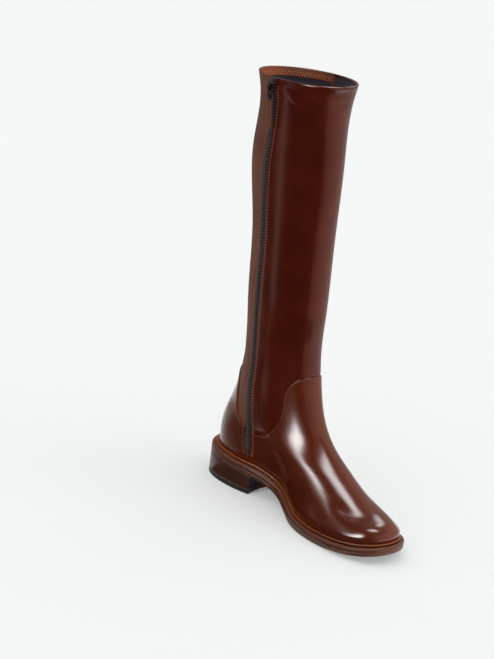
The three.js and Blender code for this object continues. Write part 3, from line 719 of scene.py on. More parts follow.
CREASES = (
    # the toe puff: its edge stands up from the vamp, with a hollow behind it
    Fold(((0.038, 0.600), (0.036, 0.570), (0.038, 0.540), (0.036, 0.500)), 15, 1.6, 0.4),
    Fold(
        ((0.086, 0.628), (0.074, 0.606), (0.067, 0.585), (0.064, 0.560), (0.068, 0.530), (0.062, 0.500)), 16, -2.0, 0.3
    ),
    # the collar: its rim is turned over a cord, and the turned edge shows as a soft step
    Fold(((0.9960, 0.735), (0.9962, 0.66), (0.9960, 0.58), (0.9962, 0.50), (0.9960, 0.44)), 5.0, 1.0, 0.1),
    Fold(((0.9810, 0.735), (0.9805, 0.66), (0.9812, 0.58), (0.9800, 0.50), (0.9806, 0.44)), 6.5, -0.8, 0.1),
    # fine creases and puckers under it
    Fold(((0.962, 0.575), (0.9605, 0.530), (0.964, 0.480)), 3.0, -1.1),
    Fold(((0.954, 0.580), (0.9525, 0.530), (0.956, 0.470)), 3.2, -1.2),
    Fold(((0.970, 0.722), (0.955, 0.700), (0.949, 0.66)), 5, 0.6),
    Fold(((0.960, 0.725), (0.946, 0.690), (0.940, 0.65)), 5, -0.6),
    Fold(((0.930, 0.660), (0.905, 0.690)), 12, -0.4),
    Fold(((0.984, 0.462), (0.984, 0.444)), 6, -0.9),
    Fold(((0.915, 0.468), (0.914, 0.450)), 6, -0.7),
    # the ankle: shallow waves over the instep and a streak on either side of it
    Fold(((0.335, 0.600), (0.325, 0.550), (0.335, 0.500), (0.330, 0.440)), 12, -0.5),
    Fold(((0.375, 0.590), (0.368, 0.540), (0.378, 0.480)), 12, 0.4),
    Fold(((0.150, 0.300), (0.200, 0.340), (0.240, 0.400)), 12, -0.6),
    Fold(((0.300, 0.860), (0.320, 0.900), (0.330, 0.950)), 14, -0.5),
)
PATH_POINTS = 200
HUMP_REACH = 2.5


def folded(last: Last, folds: Sequence[Fold], up: Array, turn: Array) -> Array:
    """Height that the folds add at places on the last, in millimetres.

    Each fold is a row of overlapping soft humps along its path, so it stays smooth where the path bends.
    """
    up, turn = np.broadcast_arrays(up, turn)
    places = last.point(up, turn).reshape(-1, 3)
    total = np.zeros(len(places))
    for fold in folds:
        knots = np.arange(len(fold.path), dtype=float)
        line = natural_spline(knots, np.array(fold.path))(np.linspace(0, knots[-1], PATH_POINTS))
        line = last.point(line[:, 0], line[:, 1])
        run = lengths_along(line, 0)
        soft = fold.width / 2
        at = np.linspace(0, run[-1], max(2, int(run[-1] / soft * 2) + 1))
        humps = np.stack([np.interp(at, run, line[:, i]) for i in range(3)], -1)
        reach = HUMP_REACH * soft
        near = np.all((places > line.min(0) - reach) & (places < line.max(0) + reach), axis=1)
        share = at / run[-1]
        weight = smooth_step(np.minimum(share, 1 - share) / fold.fade) * (at[1] / (soft * math.sqrt(math.pi)))
        for hump, part in zip(humps, weight):
            total[near] += fold.depth * part * np.exp(-np.sum((places[near] - hump) ** 2, axis=1) / soft**2)
    return total.reshape(up.shape)


# ---------------------------------------------------------------- finishes


def linear(code: str) -> tuple[float, ...]:
    """Turns an sRGB hex colour such as "#6b3a2c" into Blender's linear colour."""
    parts = [int(code[i : i + 2], 16) / 255 for i in (1, 3, 5)]
    return (*(c / 12.92 if c <= 0.04045 else ((c + 0.055) / 1.055) ** 2.4 for c in parts), 1.0)


def add_node(
    tree: bpy.types.NodeTree, kind: str, inputs: dict | None = None, output: str | int = 0, **settings: object
) -> Socket:
    """Adds a node with its settings and links.

    Args:
        tree: Nodes of a material or of the world.
        kind: Blender's name of the node type, after ShaderNode.
        inputs: A value, or another node's output socket, per input.
        output: The output that is wanted.
        **settings: Attributes of the node.

    Returns:
        The new node's output socket.
    """
    node = tree.nodes.new("ShaderNode" + kind)
    for name, value in settings.items():
        setattr(node, name, value)
    for name, value in (inputs or {}).items():
        if isinstance(value, Socket):
            tree.links.new(value, node.inputs[name])
        else:
            node.inputs[name].default_value = value
    return node.outputs[output]


class Recipe:
    """A material with one principled shader, and the patterns that feed it."""

    def __init__(self, name: str, **shader: object) -> None:
        """Makes the material. The values go to the shader's sockets, with _ for a space."""
        self.material = bpy.data.materials.new(name)
        self.material.use_nodes = True
        self.tree = self.material.node_tree
        self.shader = self.tree.nodes["Principled BSDF"]
        for socket, value in shader.items():
            self.shader.inputs[socket.replace("_", " ").title().replace("Ior", "IOR")].default_value = value

    def feed(self, socket: str, value: Socket) -> None:
        """Feeds a socket of the shader."""
        self.tree.links.new(value, self.shader.inputs[socket])

    def tint(self, pattern: Socket, *stops: tuple[float, str]) -> Socket:
        """Colours the shader by a pattern, which it gives back."""
        self.feed("Base Color", self.ramp(pattern, *stops))
        return pattern

    def cut(self, round_mm: float, up_mm: float, turn: float = 0.0) -> Socket:
        """Places on the flat cut of a piece, one unit per given number of millimetres each way."""
        scale = (1 / (round_mm * MM), 1 / (up_mm * MM), 1.0)
        place = add_node(self.tree, "UVMap", uv_map="cut")
        return add_node(self.tree, "Mapping", {"Vector": place, "Rotation": (0, 0, turn), "Scale": scale})

    def body(self, size_mm: float) -> Socket:
        """Places in the piece's own space, one unit per given number of millimetres."""
        place = add_node(self.tree, "TexCoord", output="Object")
        return add_node(self.tree, "Mapping", {"Vector": place, "Scale": (1 / (size_mm * MM),) * 3})

    def noise(self, place: Socket, detail: float = 3.0) -> Socket:
        """Grey noise, one blotch per unit of its places."""
        return add_node(self.tree, "TexNoise", {"Vector": place, "Scale": 1.0, "Detail": detail})

    def pores(self, size_mm: float) -> Socket:
        """The grain of a hide, with pores of a size."""
        place = self.cut(size_mm, size_mm)
        return add_node(self.tree, "TexVoronoi", {"Vector": place, "Scale": 1.0}, "Distance")

    def ramp(self, value: Socket, *stops: tuple[float, str]) -> Socket:
        """Turns grey into colour by stops of a place and an sRGB hex colour."""
        colour = add_node(self.tree, "ValToRGB", {"Fac": value})
        elements = colour.node.color_ramp.elements
        while len(elements) < len(stops):
            elements.new(0.5)
        for element, (place, code) in zip(elements, stops):
            element.position = place
            element.color = linear(code)
        return colour

    def bump(self, height: Socket, depth_mm: float, strength: float = 1.0, under: Socket | None = None) -> Socket:
        """Raises the surface by a grey value, up to a depth in millimetres, over another bump."""
        inputs = {"Height": height, "Distance": depth_mm * MM, "Strength": strength}
        if under is not None:
            inputs["Normal"] = under
        return add_node(self.tree, "Bump", inputs)

    def spread(
        self, value: Socket, low: float, high: float, start: float = 0.0, end: float = 1.0, **settings: object
    ) -> Socket:
        """Maps the range from start to end to the range from low to high."""
        inputs = {"Value": value, "From Min": start, "From Max": end, "To Min": low, "To Max": high}
        return add_node(self.tree, "MapRange", inputs, **settings)

    def calculate(self, operation: str, *values: Socket | float) -> Socket:
        """Works out one number from one or two."""
        return add_node(self.tree, "Math", dict(enumerate(values)), operation=operation)

    def glow(self, **inputs: Socket) -> Material:
        """Makes the material glow without lighting the room."""
        light = add_node(self.tree, "Emission", inputs)
        self.tree.links.new(light, self.tree.nodes["Material Output"].inputs["Surface"])
        self.material.cycles.emission_sampling = "NONE"
        return self.material


@dataclass(frozen=True)
class PolishedCalf:
    """Chrome-tanned calf leather, dyed reddish brown and polished by hand."""

    name: str = "glossy_calf_polished"
    deep: str = "#390b02"
    body: str = "#410e03"
    light: str = "#4b1304"
    roughness: float = 0.17
    coat_roughness: float = 0.12
    blotch_mm: float = 38.0
    streak_mm: tuple[float, float] = (22.0, 1.6)
    cloth_mm: tuple[float, float] = (30.0, 14.0)
    grain_mm: float = 0.7
    streak_depth: float = 0.05
    cloth_depth: float = 0.30
    grain_depth: float = 0.014

    def material(self) -> Material:
        """Makes it: wax gloss over a fine grain, with faint streaks of the polishing cloth round the leg."""
        matt, gloss = self.roughness, self.coat_roughness
        mix = Recipe(self.name, roughness=matt, ior=1.5, coat_weight=0.6, coat_roughness=gloss, coat_ior=1.5)
        mix.tint(mix.noise(mix.body(self.blotch_mm)), (0.25, self.deep), (0.5, self.body), (0.8, self.light))
        streaks = mix.noise(mix.cut(*self.streak_mm), 2.0)
        mix.feed("Roughness", mix.spread(streaks, matt - 0.04, matt + 0.08))
        waves = mix.bump(mix.noise(mix.cut(*self.cloth_mm), 2.0), self.cloth_depth, 0.35)
        rubbed = mix.bump(streaks, self.streak_depth, 0.5, waves)
        mix.feed("Coat Normal", rubbed)
        mix.feed("Normal", mix.bump(mix.pores(self.grain_mm), self.grain_depth, 0.35, rubbed))
        return mix.material


@dataclass(frozen=True)
class StretchLeather:
    """Thin nappa bonded to an elastic backing, so it is matt and slightly gathered."""

    name: str = "stretch_leather_matt"
    deep: str = "#552c1e"
    body: str = "#663828"
    roughness: float = 0.52
    blotch_mm: float = 30.0
    wrinkle_mm: tuple[float, float] = (7.0, 2.0)
    grain_mm: float = 0.8

    def material(self) -> Material:
        """Makes it: soft sheen over small cross wrinkles, without a wax gloss."""
        mix = Recipe(self.name, roughness=self.roughness, ior=1.48, specular_ior_level=0.2)
        mix.tint(mix.noise(mix.body(self.blotch_mm), 4.0), (0.3, self.deep), (0.65, self.body))
        gathered = mix.bump(mix.noise(mix.cut(*self.wrinkle_mm)), 0.16, 0.6)
        mix.feed("Normal", mix.bump(mix.pores(self.grain_mm), 0.03, 0.5, gathered))
        return mix.material


@dataclass(frozen=True)
class PlainLeather:
    """Vegetable-tanned leather with burnished or cut faces."""

    name: str
    deep: str
    body: str
    roughness: float
    fibre_width: float = 0.9
    fibre_length: float = 9.0

    def material(self) -> Material:
        """Makes it: fibres drawn out along the piece, waxed to a low gloss."""
        mix = Recipe(self.name, roughness=self.roughness, ior=1.5, coat_weight=0.05, coat_roughness=0.3)
        fibre = mix.noise(mix.cut(self.fibre_length, self.fibre_width), 4.0)
        mix.tint(fibre, (0.3, self.deep), (0.7, self.body))
        mix.feed("Normal", mix.bump(fibre, 0.05, 0.6))
        return mix.material


@dataclass(frozen=True)
class StackedLeather:
    """Heel lifts of sole leather, nailed, trimmed and waxed."""

    name: str = "stacked_leather_waxed"
    front: str = "#2e130a"
    lift: str = "#4a2413"
    joint: str = "#1c0c07"
    lift_mm: float = 2.6
    joint_share: float = 0.16
    fibre_mm: tuple[float, float] = (6.0, 0.45)

    def material(self) -> Material:
        """Makes it: one dark line per lift, and a wax sheen that catches the light on the heel's back."""
        mix = Recipe(self.name, roughness=0.36, ior=1.5, coat_weight=0.2, coat_roughness=0.22)
        height = add_node(mix.tree, "SeparateXYZ", {0: mix.body(self.lift_mm)}, 2)
        line = mix.spread(mix.calculate("FRACT", height), 1.0, 0.0, 0.0, self.joint_share)
        fibre = mix.noise(mix.cut(*self.fibre_mm), 4.0)
        tone = mix.ramp(fibre, (0.25, self.front), (0.75, self.lift))
        lined = {"Factor": line, "A": tone, "B": linear(self.joint)}
        mix.feed("Base Color", mixed_colour(mix.tree, lined))
        mix.feed("Normal", mix.bump(fibre, 0.05, 0.5, mix.bump(line, -0.12, 0.8)))
        return mix.material


def mixed_colour(tree: bpy.types.NodeTree, parts: dict[str, object]) -> Socket:
    """Mixes colour A into colour B by Factor."""
    numbers = {"Factor": 0, "A": 6, "B": 7}
    return add_node(tree, "Mix", {numbers[name]: value for name, value in parts.items()}, 2, data_type="RGBA")


@dataclass(frozen=True)
class Rubber:
    """Moulded black rubber or a painted black sole face."""

    name: str
    colour: str
    roughness: float
    pore: str = "#0d0c0e"

    def material(self) -> Material:
        """Makes it: even and dull, with a fine moulded pebble."""
        mix = Recipe(self.name, roughness=self.roughness, ior=1.52)
        pebble = mix.tint(mix.noise(mix.body(0.9), 2.0), (0.3, self.pore), (0.7, self.colour))
        mix.feed("Normal", mix.bump(pebble, 0.05, 0.6))
        return mix.material


class Weave(Enum):
    """How a textile is woven: the angle of its threads in degrees."""

    PLAIN = 0.0
    TWILL = 45.0


@dataclass(frozen=True)
class Textile:
    """Woven polyester, for the lining and the zip's tape."""

    name: str
    dark: str
    light: str
    thread_mm: float
    weave: Weave

    def material(self) -> Material:
        """Makes it: crossing threads with a dull sheen. The real ones are half as wide and wouldn't show."""
        mix = Recipe(self.name, roughness=0.85, ior=1.46, sheen_weight=0.25, sheen_roughness=0.4)
        place = mix.cut(self.thread_mm, self.thread_mm, math.radians(self.weave.value))
        check = add_node(mix.tree, "TexChecker", {"Vector": place, "Scale": 1.0}, 1)
        fuzz = mix.noise(mix.body(1.6))
        half = mix.calculate("MULTIPLY", mix.calculate("ADD", check, fuzz), 0.5)
        mix.tint(half, (0.15, self.dark), (0.85, self.light))
        mix.feed("Normal", mix.bump(check, 0.06, 0.5))
        return mix.material


@dataclass(frozen=True)
class Thread:
    """Twisted polyester sewing thread."""

    name: str
    colour: str
    shade: str

    def material(self) -> Material:
        """Makes it: a satin thread, darker in the turns of its twist."""
        mix = Recipe(self.name, roughness=0.55, ior=1.5, sheen_weight=0.2)
        mix.tint(mix.noise(mix.body(0.5), 1.0), (0.3, self.shade), (0.6, self.colour))
        return mix.material


@dataclass(frozen=True)
class CoilNylon:
    """Drawn nylon coil, dyed dark grey."""

    name: str = "coil_nylon_dyed"
    dark: str = "#241c1a"
    light: str = "#463a35"

    def material(self) -> Material:
        """Makes it: smooth round wire with a small soft highlight on each turn."""
        mix = Recipe(self.name, roughness=0.38, ior=1.53)
        mix.tint(mix.noise(mix.body(2.2), 2.0), (0.3, self.dark), (0.7, self.light))
        return mix.material


@dataclass(frozen=True)
class Gunmetal:
    """Die-cast zinc, plated in dark nickel."""

    name: str = "gunmetal_plated"
    dark: str = "#353234"
    light: str = "#6b6766"

    def material(self) -> Material:
        """Makes it: a tumbled plating, dark but bright on its rounded edges."""
        mix = Recipe(self.name, roughness=0.3, metallic=1.0)
        wear = mix.tint(mix.noise(mix.body(1.5), 4.0), (0.3, self.dark), (0.7, self.light))
        mix.feed("Roughness", mix.spread(wear, 0.18, 0.34))
        return mix.material


@dataclass(frozen=True)
class PaperBoard:
    """Matt backdrop paper or board for the studio."""

    name: str
    colour: str

    def material(self) -> Material:
        """Makes it: an even, dull sheet that takes soft shadows."""
        return Recipe(self.name, roughness=0.9, base_color=linear(self.colour), specular_ior_level=0.2).material


class Finishes:
    """All finishes of the boot, each made once."""

    def __init__(self) -> None:
        """Mixes every finish."""
        self.calf = PolishedCalf().material()
        # The foot's copy of the calf has lighter colours than the leg's: painted light on the upward-facing foot. Its
        # softer gloss is a real difference.
        burnished = PolishedCalf("glossy_calf_painted_lighter", "#401304", "#481706", "#521c07", 0.2, 0.16)
        self.foot_calf = burnished.material()
        self.strip = PlainLeather("pull_strip_leather_cut", "#3a1a0e", "#55301f", 0.42, 1.6).material()
        self.stretch = StretchLeather().material()
        self.facing = StretchLeather("facing_leather_matt", "#58301f", "#70412d", 0.5).material()
        self.bead = PlainLeather("welt_bead_waxed", "#5a2a10", "#7d3f18", 0.38, 1.4).material()
        self.ledge = PlainLeather("welt_leather_burnished", "#3c1c11", "#542d1f", 0.42).material()
        self.edge = PlainLeather("sole_edge_burnished", "#44251a", "#5c3628", 0.36).material()
        self.insole = PlainLeather("insole_cover_glued", "#1b1719", "#2b2426", 0.7, 3.0).material()
        self.stack = StackedLeather().material()
        self.rubber = Rubber("top_piece_rubber", "#141316", 0.55).material()
        self.tread = Rubber("tread_leather_painted", "#17151a", 0.5).material()
        self.lining = Textile("lining_textile_woven", "#1c1a20", "#302d36", 1.0, Weave.TWILL).material()
        self.tape = Textile("zip_tape_woven", "#120d0c", "#261c18", 0.8, Weave.PLAIN).material()
        self.coil = CoilNylon().material()
        self.metal = Gunmetal().material()
        self.orange = Thread("thread_orange_twisted", "#b8622c", "#86421c").material()
        self.russet = Thread("thread_russet_twisted", "#98552f", "#6d381b").material()
        self.brown = Thread("thread_brown_twisted", "#6a3622", "#43200f").material()


def dress(piece: Piece, finish: Material, body: str, stands_for: str | None = None) -> None:
    """Finishes a piece and hands it over.

    Args:
        piece: The piece.
        finish: Its material.
        body: The body it rides on.
        stands_for: The solid that it takes the place of.
    """
    if stands_for:
        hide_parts(stands_for)
    piece.data.materials.clear()
    piece.data.materials.append(finish)
    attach(piece, body)
    log.info("%s: %d triangles", piece.name, sum(len(face.vertices) - 2 for face in piece.data.polygons))


# ---------------------------------------------------------------- workshop


class Cut:
    """A piece as it is cut, laid on the last: its grid, and how far each place is from its four edges."""

    def __init__(self, last: Last, up: Array, turn: Array, depth: float) -> None:
        """Lays the grid on the creased last and measures it at a depth, in millimetres."""
        self.last, self.up, self.turn = last, up, turn
        self.middle, self.out = last.point(up, turn), last.normal(up, turn)
        self.relief = folded(last, CREASES, up, turn)
        grid = self.at(depth) / MM
        self.from_low, self.from_start = lengths_along(grid, 0), lengths_along(grid, 1)
        self.from_top = self.from_low[-1:] - self.from_low
        self.from_stop = self.from_start[:, -1:] - self.from_start
        self.height = up * last.rise * MM

    def at(self, depth: Array) -> Array:
        """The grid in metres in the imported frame, at a depth outwards in millimetres."""
        return self.last.placed(self.middle + self.out * (depth + self.relief)[..., None])


@dataclass
class Workshop:
    """What every piece is made with: the last, its seam lines and the finishes."""

    last: Last
    seams: Seams
    finish: Finishes
    foot_skin: float = 0.3
    leg_skin: float = -0.5
    panel_skin: float = -0.9
    lining_skin: float = -2.6
    middle_skin: float = -1.2
    opening: float = 4.0
    tuck: float = 7.0
    rounds: int = 25

    def up_of(self, length: float) -> float:
        """Share of the way up that a length in millimetres takes."""
        return length / self.last.rise

    def on_leather(self, up: Array, turn: Array, depth: Array) -> Array:
        """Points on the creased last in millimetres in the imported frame."""
        relief = folded(self.last, CREASES, up, turn)
        return self.last.skin(up, turn, depth + relief) + self.last.shift

    def under_foot_leather(self, turn: Array) -> Array:
        """How far down the leg's pieces reach under the foot leather."""
        return self.seams.foot_edge(turn) - self.up_of(self.tuck)

    def dip(self, cut: Cut, depth: float) -> Array:
        """How deep a piece of the leg dips where it goes under the foot leather."""
        return depth * (1 - smooth_step((cut.from_low - self.tuck + 1.0) / 3.0))

    def along_opening(self) -> tuple[Curve, Curve]:
        """The zip's opening behind its middle line, one turn back, and in front of it."""
        seams = self.seams
        return (
            lambda up: seams.beside_zip(up, seams.half_opening(up)) - 1,
            lambda up: seams.beside_zip(up, -seams.half_opening(up)),
        )

    def cut(
        self, shares: tuple[Array, Array], ends: tuple[Curve, Curve], sides: tuple[Curve, Curve], depth: float
    ) -> Cut:
        """Lays a grid between two lines that go round and two that go up.

        Args:
            shares: Shares of the way up, and of the way round.
            ends: How far up the lower and the upper line are at a turn.
            sides: Turns of the first and the last side line at a height.
            depth: Depth at which the piece is measured, in millimetres.

        Returns:
            The piece's cut.
        """
        v, h = shares[0][:, None], shares[1][None, :]
        turn = blend(sides[0](0.5), sides[1](0.5), h) + 0 * v
        up = 0 * turn
        for _ in range(self.rounds):
            up = blend(ends[0](turn), ends[1](turn), v)
            turn = 0.5 * turn + 0.5 * blend(sides[0](up), sides[1](up), h)
        return Cut(self.last, up, turn, depth)


# ---------------------------------------------------------------- upper


RIM_STEPS = (0.0, 0.05, 0.2, 0.5, 0.9, 1.4, 2.0, 2.5, 2.7, 2.9, 3.3, 4.2, 5.5)
CLOTH_STEPS = (0.0, 0.3, 0.8)


@dataclass
class FootLeather:
    """Vamp and counter: the leather over the foot, lapped over the leg and open at the zip."""

    shop: Workshop
    tall: float = 130.0
    around: float = 640.0
    thickness: float = 1.3
    step: float = 2.0
    edge_roll: float = 0.55
    hem: float = 3.0

    def build(self) -> None:
        """Makes the leather from the zip's rear edge round the heel and the toe to its front edge."""
        shop, last = self.shop, self.shop.last
        middle = shop.foot_skin - self.thickness / 2
        shares = edge_steps(self.tall, self.step, low=False), edge_steps(self.around, self.step)
        cut = shop.cut(shares, (level(0.0), shop.seams.foot_edge), shop.along_opening(), middle)
        half = self.thickness / 2 * rolled(self.edge_roll, cut.from_top, cut.from_start, cut.from_stop)
        faces = []
        for sign in (1, -1):
            hem = last.placed(last.feather(cut.turn[0], middle + sign * self.thickness / 2, self.hem))
            faces.append(np.concatenate([hem[None], cut.at(middle + sign * half)]))
        height = np.concatenate([0 * cut.height[:1] - self.hem * MM, cut.height])
        made = shell("vamp_and_counter", *faces, height)
        dress(made, shop.finish.foot_calf, "boot", "upper")


@dataclass
class LegLeather:
    """The polished front of the leg, from the outer side seam round the shin to the zip."""

    shop: Workshop
    tall: float = 300.0
    around: float = 180.0
    thickness: float = 1.2
    turned: float = 2.6
    turned_depth: float = 2.8
    step: float = 2.0
    edge_roll: float = 0.6
    dip: float = 0.9

    def build(self) -> None:
        """Makes the leather with its top edge turned in over the rim."""
        shop, seams = self.shop, self.shop.seams
        shares = edge_steps(self.tall, self.step, RIM_STEPS, low=False), edge_steps(self.around, self.step)
        sides = seams.outer_seam, lambda up: seams.beside_zip(up, -shop.opening)
        cut = shop.cut(shares, (shop.under_foot_leather, level(1.0)), sides, shop.middle_skin)
        over = smooth_step((self.turned_depth + 0.25 - cut.from_top) / 0.5)
        thick = blend(self.thickness, self.turned, over)
        pinch = thick / 2 * (1 - rolled(self.turned / 2, cut.from_top))
        pinch = pinch + self.thickness / 2 * (1 - rolled(self.edge_roll, cut.from_start, cut.from_stop))
        face = shop.leg_skin - shop.dip(cut, self.dip)
        made = shell("leg_leather", cut.at(face - pinch), cut.at(face - thick + pinch), cut.height)
        dress(made, shop.finish.calf, "boot")


@dataclass
class StretchPanel:
    """The elastic leather round the calf, with its facing sewn inside the collar."""

    shop: Workshop
    tall: float = 300.0
    around: float = 190.0
    thickness: float = 1.3
    step: float = 2.2
    facing_step: float = 1.2
    edge_roll: float = 0.7
    dip: float = 0.5
    lap: float = 4.0
    lap_dip: float = 0.45
    facing_depth: float = 9.6
    facing_thickness: float = 1.0
    facing_skin: float = -2.85
    facing_roll: float = 0.5
    below_rim: float = 0.35

    def build(self) -> None:
        """Makes the panel, which dips under the leg leather at the side seam, and its facing."""
        shop, seams = self.shop, self.shop.seams
        shares = edge_steps(self.tall, self.step, low=False), edge_steps(self.around, self.step)
        sides = self.behind_zip(0.0), lambda up: seams.beside_outer(up, self.lap)
        cut = shop.cut(shares, (shop.under_foot_leather, level(1.0)), sides, shop.middle_skin)
        pinch = self.thickness / 2 * (1 - rolled(self.edge_roll, cut.from_top, cut.from_start))
        under = self.lap_dip * (1 - smooth_step((cut.from_stop - self.lap - 0.2) / 2.2))
        face = shop.panel_skin - shop.dip(cut, self.dip) - under
        made = shell("stretch_panel", cut.at(face - pinch), cut.at(face - self.thickness + pinch), cut.height)
        dress(made, shop.finish.stretch, "boot", "back_panel")
        self.build_facing()

    def behind_zip(self, inset: float) -> Curve:
        """The panel's side along the zip, or a line inside it, one turn back."""
        return lambda up: self.shop.seams.beside_zip(up, self.shop.opening + inset) - 1

    def build_facing(self) -> None:
        """Makes the facing that lies inside the collar."""
        shop = self.shop
        ends = (level(1 - shop.up_of(self.facing_depth)), level(1 - shop.up_of(self.below_rim)))
        sides = self.behind_zip(0.2), lambda up: shop.seams.beside_outer(up, 1.0)
        shares = edge_steps(self.facing_depth, self.facing_step), edge_steps(self.around, self.step)
        cut = shop.cut(shares, ends, sides, self.facing_skin)
        roll = rolled(self.facing_roll, cut.from_low, cut.from_top, cut.from_start, cut.from_stop)
        half = self.facing_thickness / 2 * roll
        made = shell("collar_facing", cut.at(self.facing_skin + half), cut.at(self.facing_skin - half))
        dress(made, shop.finish.facing, "boot")


@dataclass
class Lining:
    """The textile that lines foot and leg."""

    shop: Workshop
    tall: float = 430.0
    around: float = 400.0
    thickness: float = 0.8
    step: float = 3.0
    below_rim: float = 1.6

    def build(self) -> None:
        """Makes the lining, open behind the zip."""
        shop = self.shop
        rows = edge_steps(self.tall, self.step, CLOTH_STEPS, low=False)
        shares = rows, edge_steps(self.around, self.step, CLOTH_STEPS)
        ends = level(0.0), level(1 - shop.up_of(self.below_rim))
        cut = shop.cut(shares, ends, shop.along_opening(), shop.lining_skin)
        made = shell("lining", cut.at(shop.lining_skin + self.thickness), cut.at(shop.lining_skin))
        dress(made, shop.finish.lining, "boot")


# ---------------------------------------------------------------- zip

# Along one turn of the coil: distance from the middle line, height, how far up it leans, thickness of the wire
COIL_TURN = (
    (2.45, -0.55, 1.1, 0.8), (2.5, -0.1, 1.0, 1.0), (2.2, 0.18, 0.7, 1.0), (1.3, 0.3, 0.25, 1.0),
    (0.3, 0.28, -0.25, 1.15), (-0.35, 0.1, -0.5, 1.05), (-0.5, -0.35, -0.5, 0.7),
)  # fmt: skip
SLIDER_HALF = (
    (0.66, -1.0), (0.80, -0.62), (1.0, -0.05), (1.0, 0.62), (0.86, 0.9), (0.55, 1.0), (0.22, 0.92), (0.0, 0.72),
)  # fmt: skip
STRIP_ROWS = (0, 0.25, 0.6, 1.2, 2.2, 4, 6.5, 9.5, 13, 17, 21, 25, 28, 29.5, 30.4, 30.8, 31.0)


@dataclass
class Zip:
    """Two woven tapes and a closed nylon coil, sewn into the opening."""

    shop: Workshop
    low: float = 0.0135
    below_rim: float = 0.6
    tape_length: float = 430.0
    tape_step: float = 2.4
    tape_width: float = 6.4
    tape_thickness: float = 0.8
    tape_skin: float = -0.9
    coil_low: float = 0.030
    coil_below_rim: float = 1.2
    pitch: float = 3.3
    wire: float = 0.6
    coil_samples: int = 3000
    coil_sides: int = 7
    seam_samples: int = 1600
    seam_low: float = 0.016
    seam_high: float = 0.985
    seam_inset_front: float = 3.4
    seam_inset_rear: float = 2.0

    def build(self) -> None:
        """Makes tapes, teeth and the stitches beside them, with side -1 in front and 1 behind."""
        for side, name in ((-1.0, "front"), (1.0, "rear")):
            self.build_tape(side, name)
            self.build_teeth(side, name)
        for side, name in ((-1.0, "front"), (1.0, "rear")):
            self.build_seam(side, name)

    def line(self, up: Array, distance: Array, depth: Array) -> Array:
        """Points beside the zip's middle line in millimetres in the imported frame."""
        return self.shop.on_leather(up, self.shop.seams.beside_zip(up, distance), depth)

    def build_tape(self, side: float, name: str) -> None:
        """Makes one tape, whose outer edge is under the leather. It swells over the ankle and at the coil."""
        shop = self.shop
        rows = edge_steps(self.tape_length, self.tape_step, (0.0, 0.4, 1.0))[:, None]
        across = edge_steps(self.tape_width, 0.9, (0.0, 0.25))[None, :]
        up = blend(self.low, 1 - shop.up_of(self.below_rim), rows) + 0 * across
        reach = np.minimum(self.tape_width, 0.5 + 1.35 * shop.seams.half_opening(up))
        distance = blend(0.1, reach, across)
        top = self.tape_skin + 0.5 * bell(up - 0.045, 0.022) * (1 - distance / 8) + 0.3 * bell(distance, 1.2)
        faces = [self.line(up, side * distance, depth) * MM for depth in (top, top - self.tape_thickness)]
        if side < 0:
            faces = [face[:, ::-1] for face in faces]
        made = shell(f"zip_tape_{name}", *faces)
        dress(made, shop.finish.tape, "boot", "zip_tape" if side < 0 else None)

    def build_teeth(self, side: float, name: str) -> None:
        """Makes the turns of one half of the coil, which lock between those of the other half."""
        shop = self.shop
        many = np.linspace(self.coil_low, 1 - shop.up_of(self.coil_below_rim), self.coil_samples)
        run = lengths_along(self.line(many, 0 * many, 0 * many), 0)
        count = int(run[-1] / self.pitch)
        offset = 0.25 if side < 0 else 0.75
        centre = np.interp((np.arange(count) + offset) * run[-1] / count, run, many)
        across, height, lean, wire = np.array(COIL_TURN).T
        up = centre[:, None] + shop.up_of(1.0) * lean[None, :]
        path = self.line(up, side * across[None, :] + 0 * up, height[None, :] + 0 * up)
        out = shop.last.normal(up, shop.seams.zip_turn(up))
        made = tubes(f"zip_teeth_{name}", path * MM, out, self.wire * wire * MM, self.coil_sides)
        dress(made, shop.finish.coil, "boot", "zip_coil" if side < 0 else None)

    def build_seam(self, side: float, name: str) -> None:
        """Sews the leather to one tape with russet thread, coarser and more slanting in front."""
        shop, seams = self.shop, self.shop.seams
        up = np.linspace(self.seam_low, self.seam_high, self.seam_samples)
        inset, skin, stitch = self.seam_inset_rear, shop.panel_skin, REAR_STITCH
        if side < 0:
            inset, skin, stitch = self.seam_inset_front, shop.leg_skin, FRONT_STITCH
        distance = side * (seams.half_opening(up) + inset)
        turn = seams.beside_zip(up, distance)
        depth = np.where(up < seams.foot_edge(turn), shop.foot_skin, skin)
        made = sewn(f"zip_seam_{name}", self.line(up, distance, depth), shop.last.normal(up, turn), stitch)
        dress(made, shop.finish.russet, "boot")


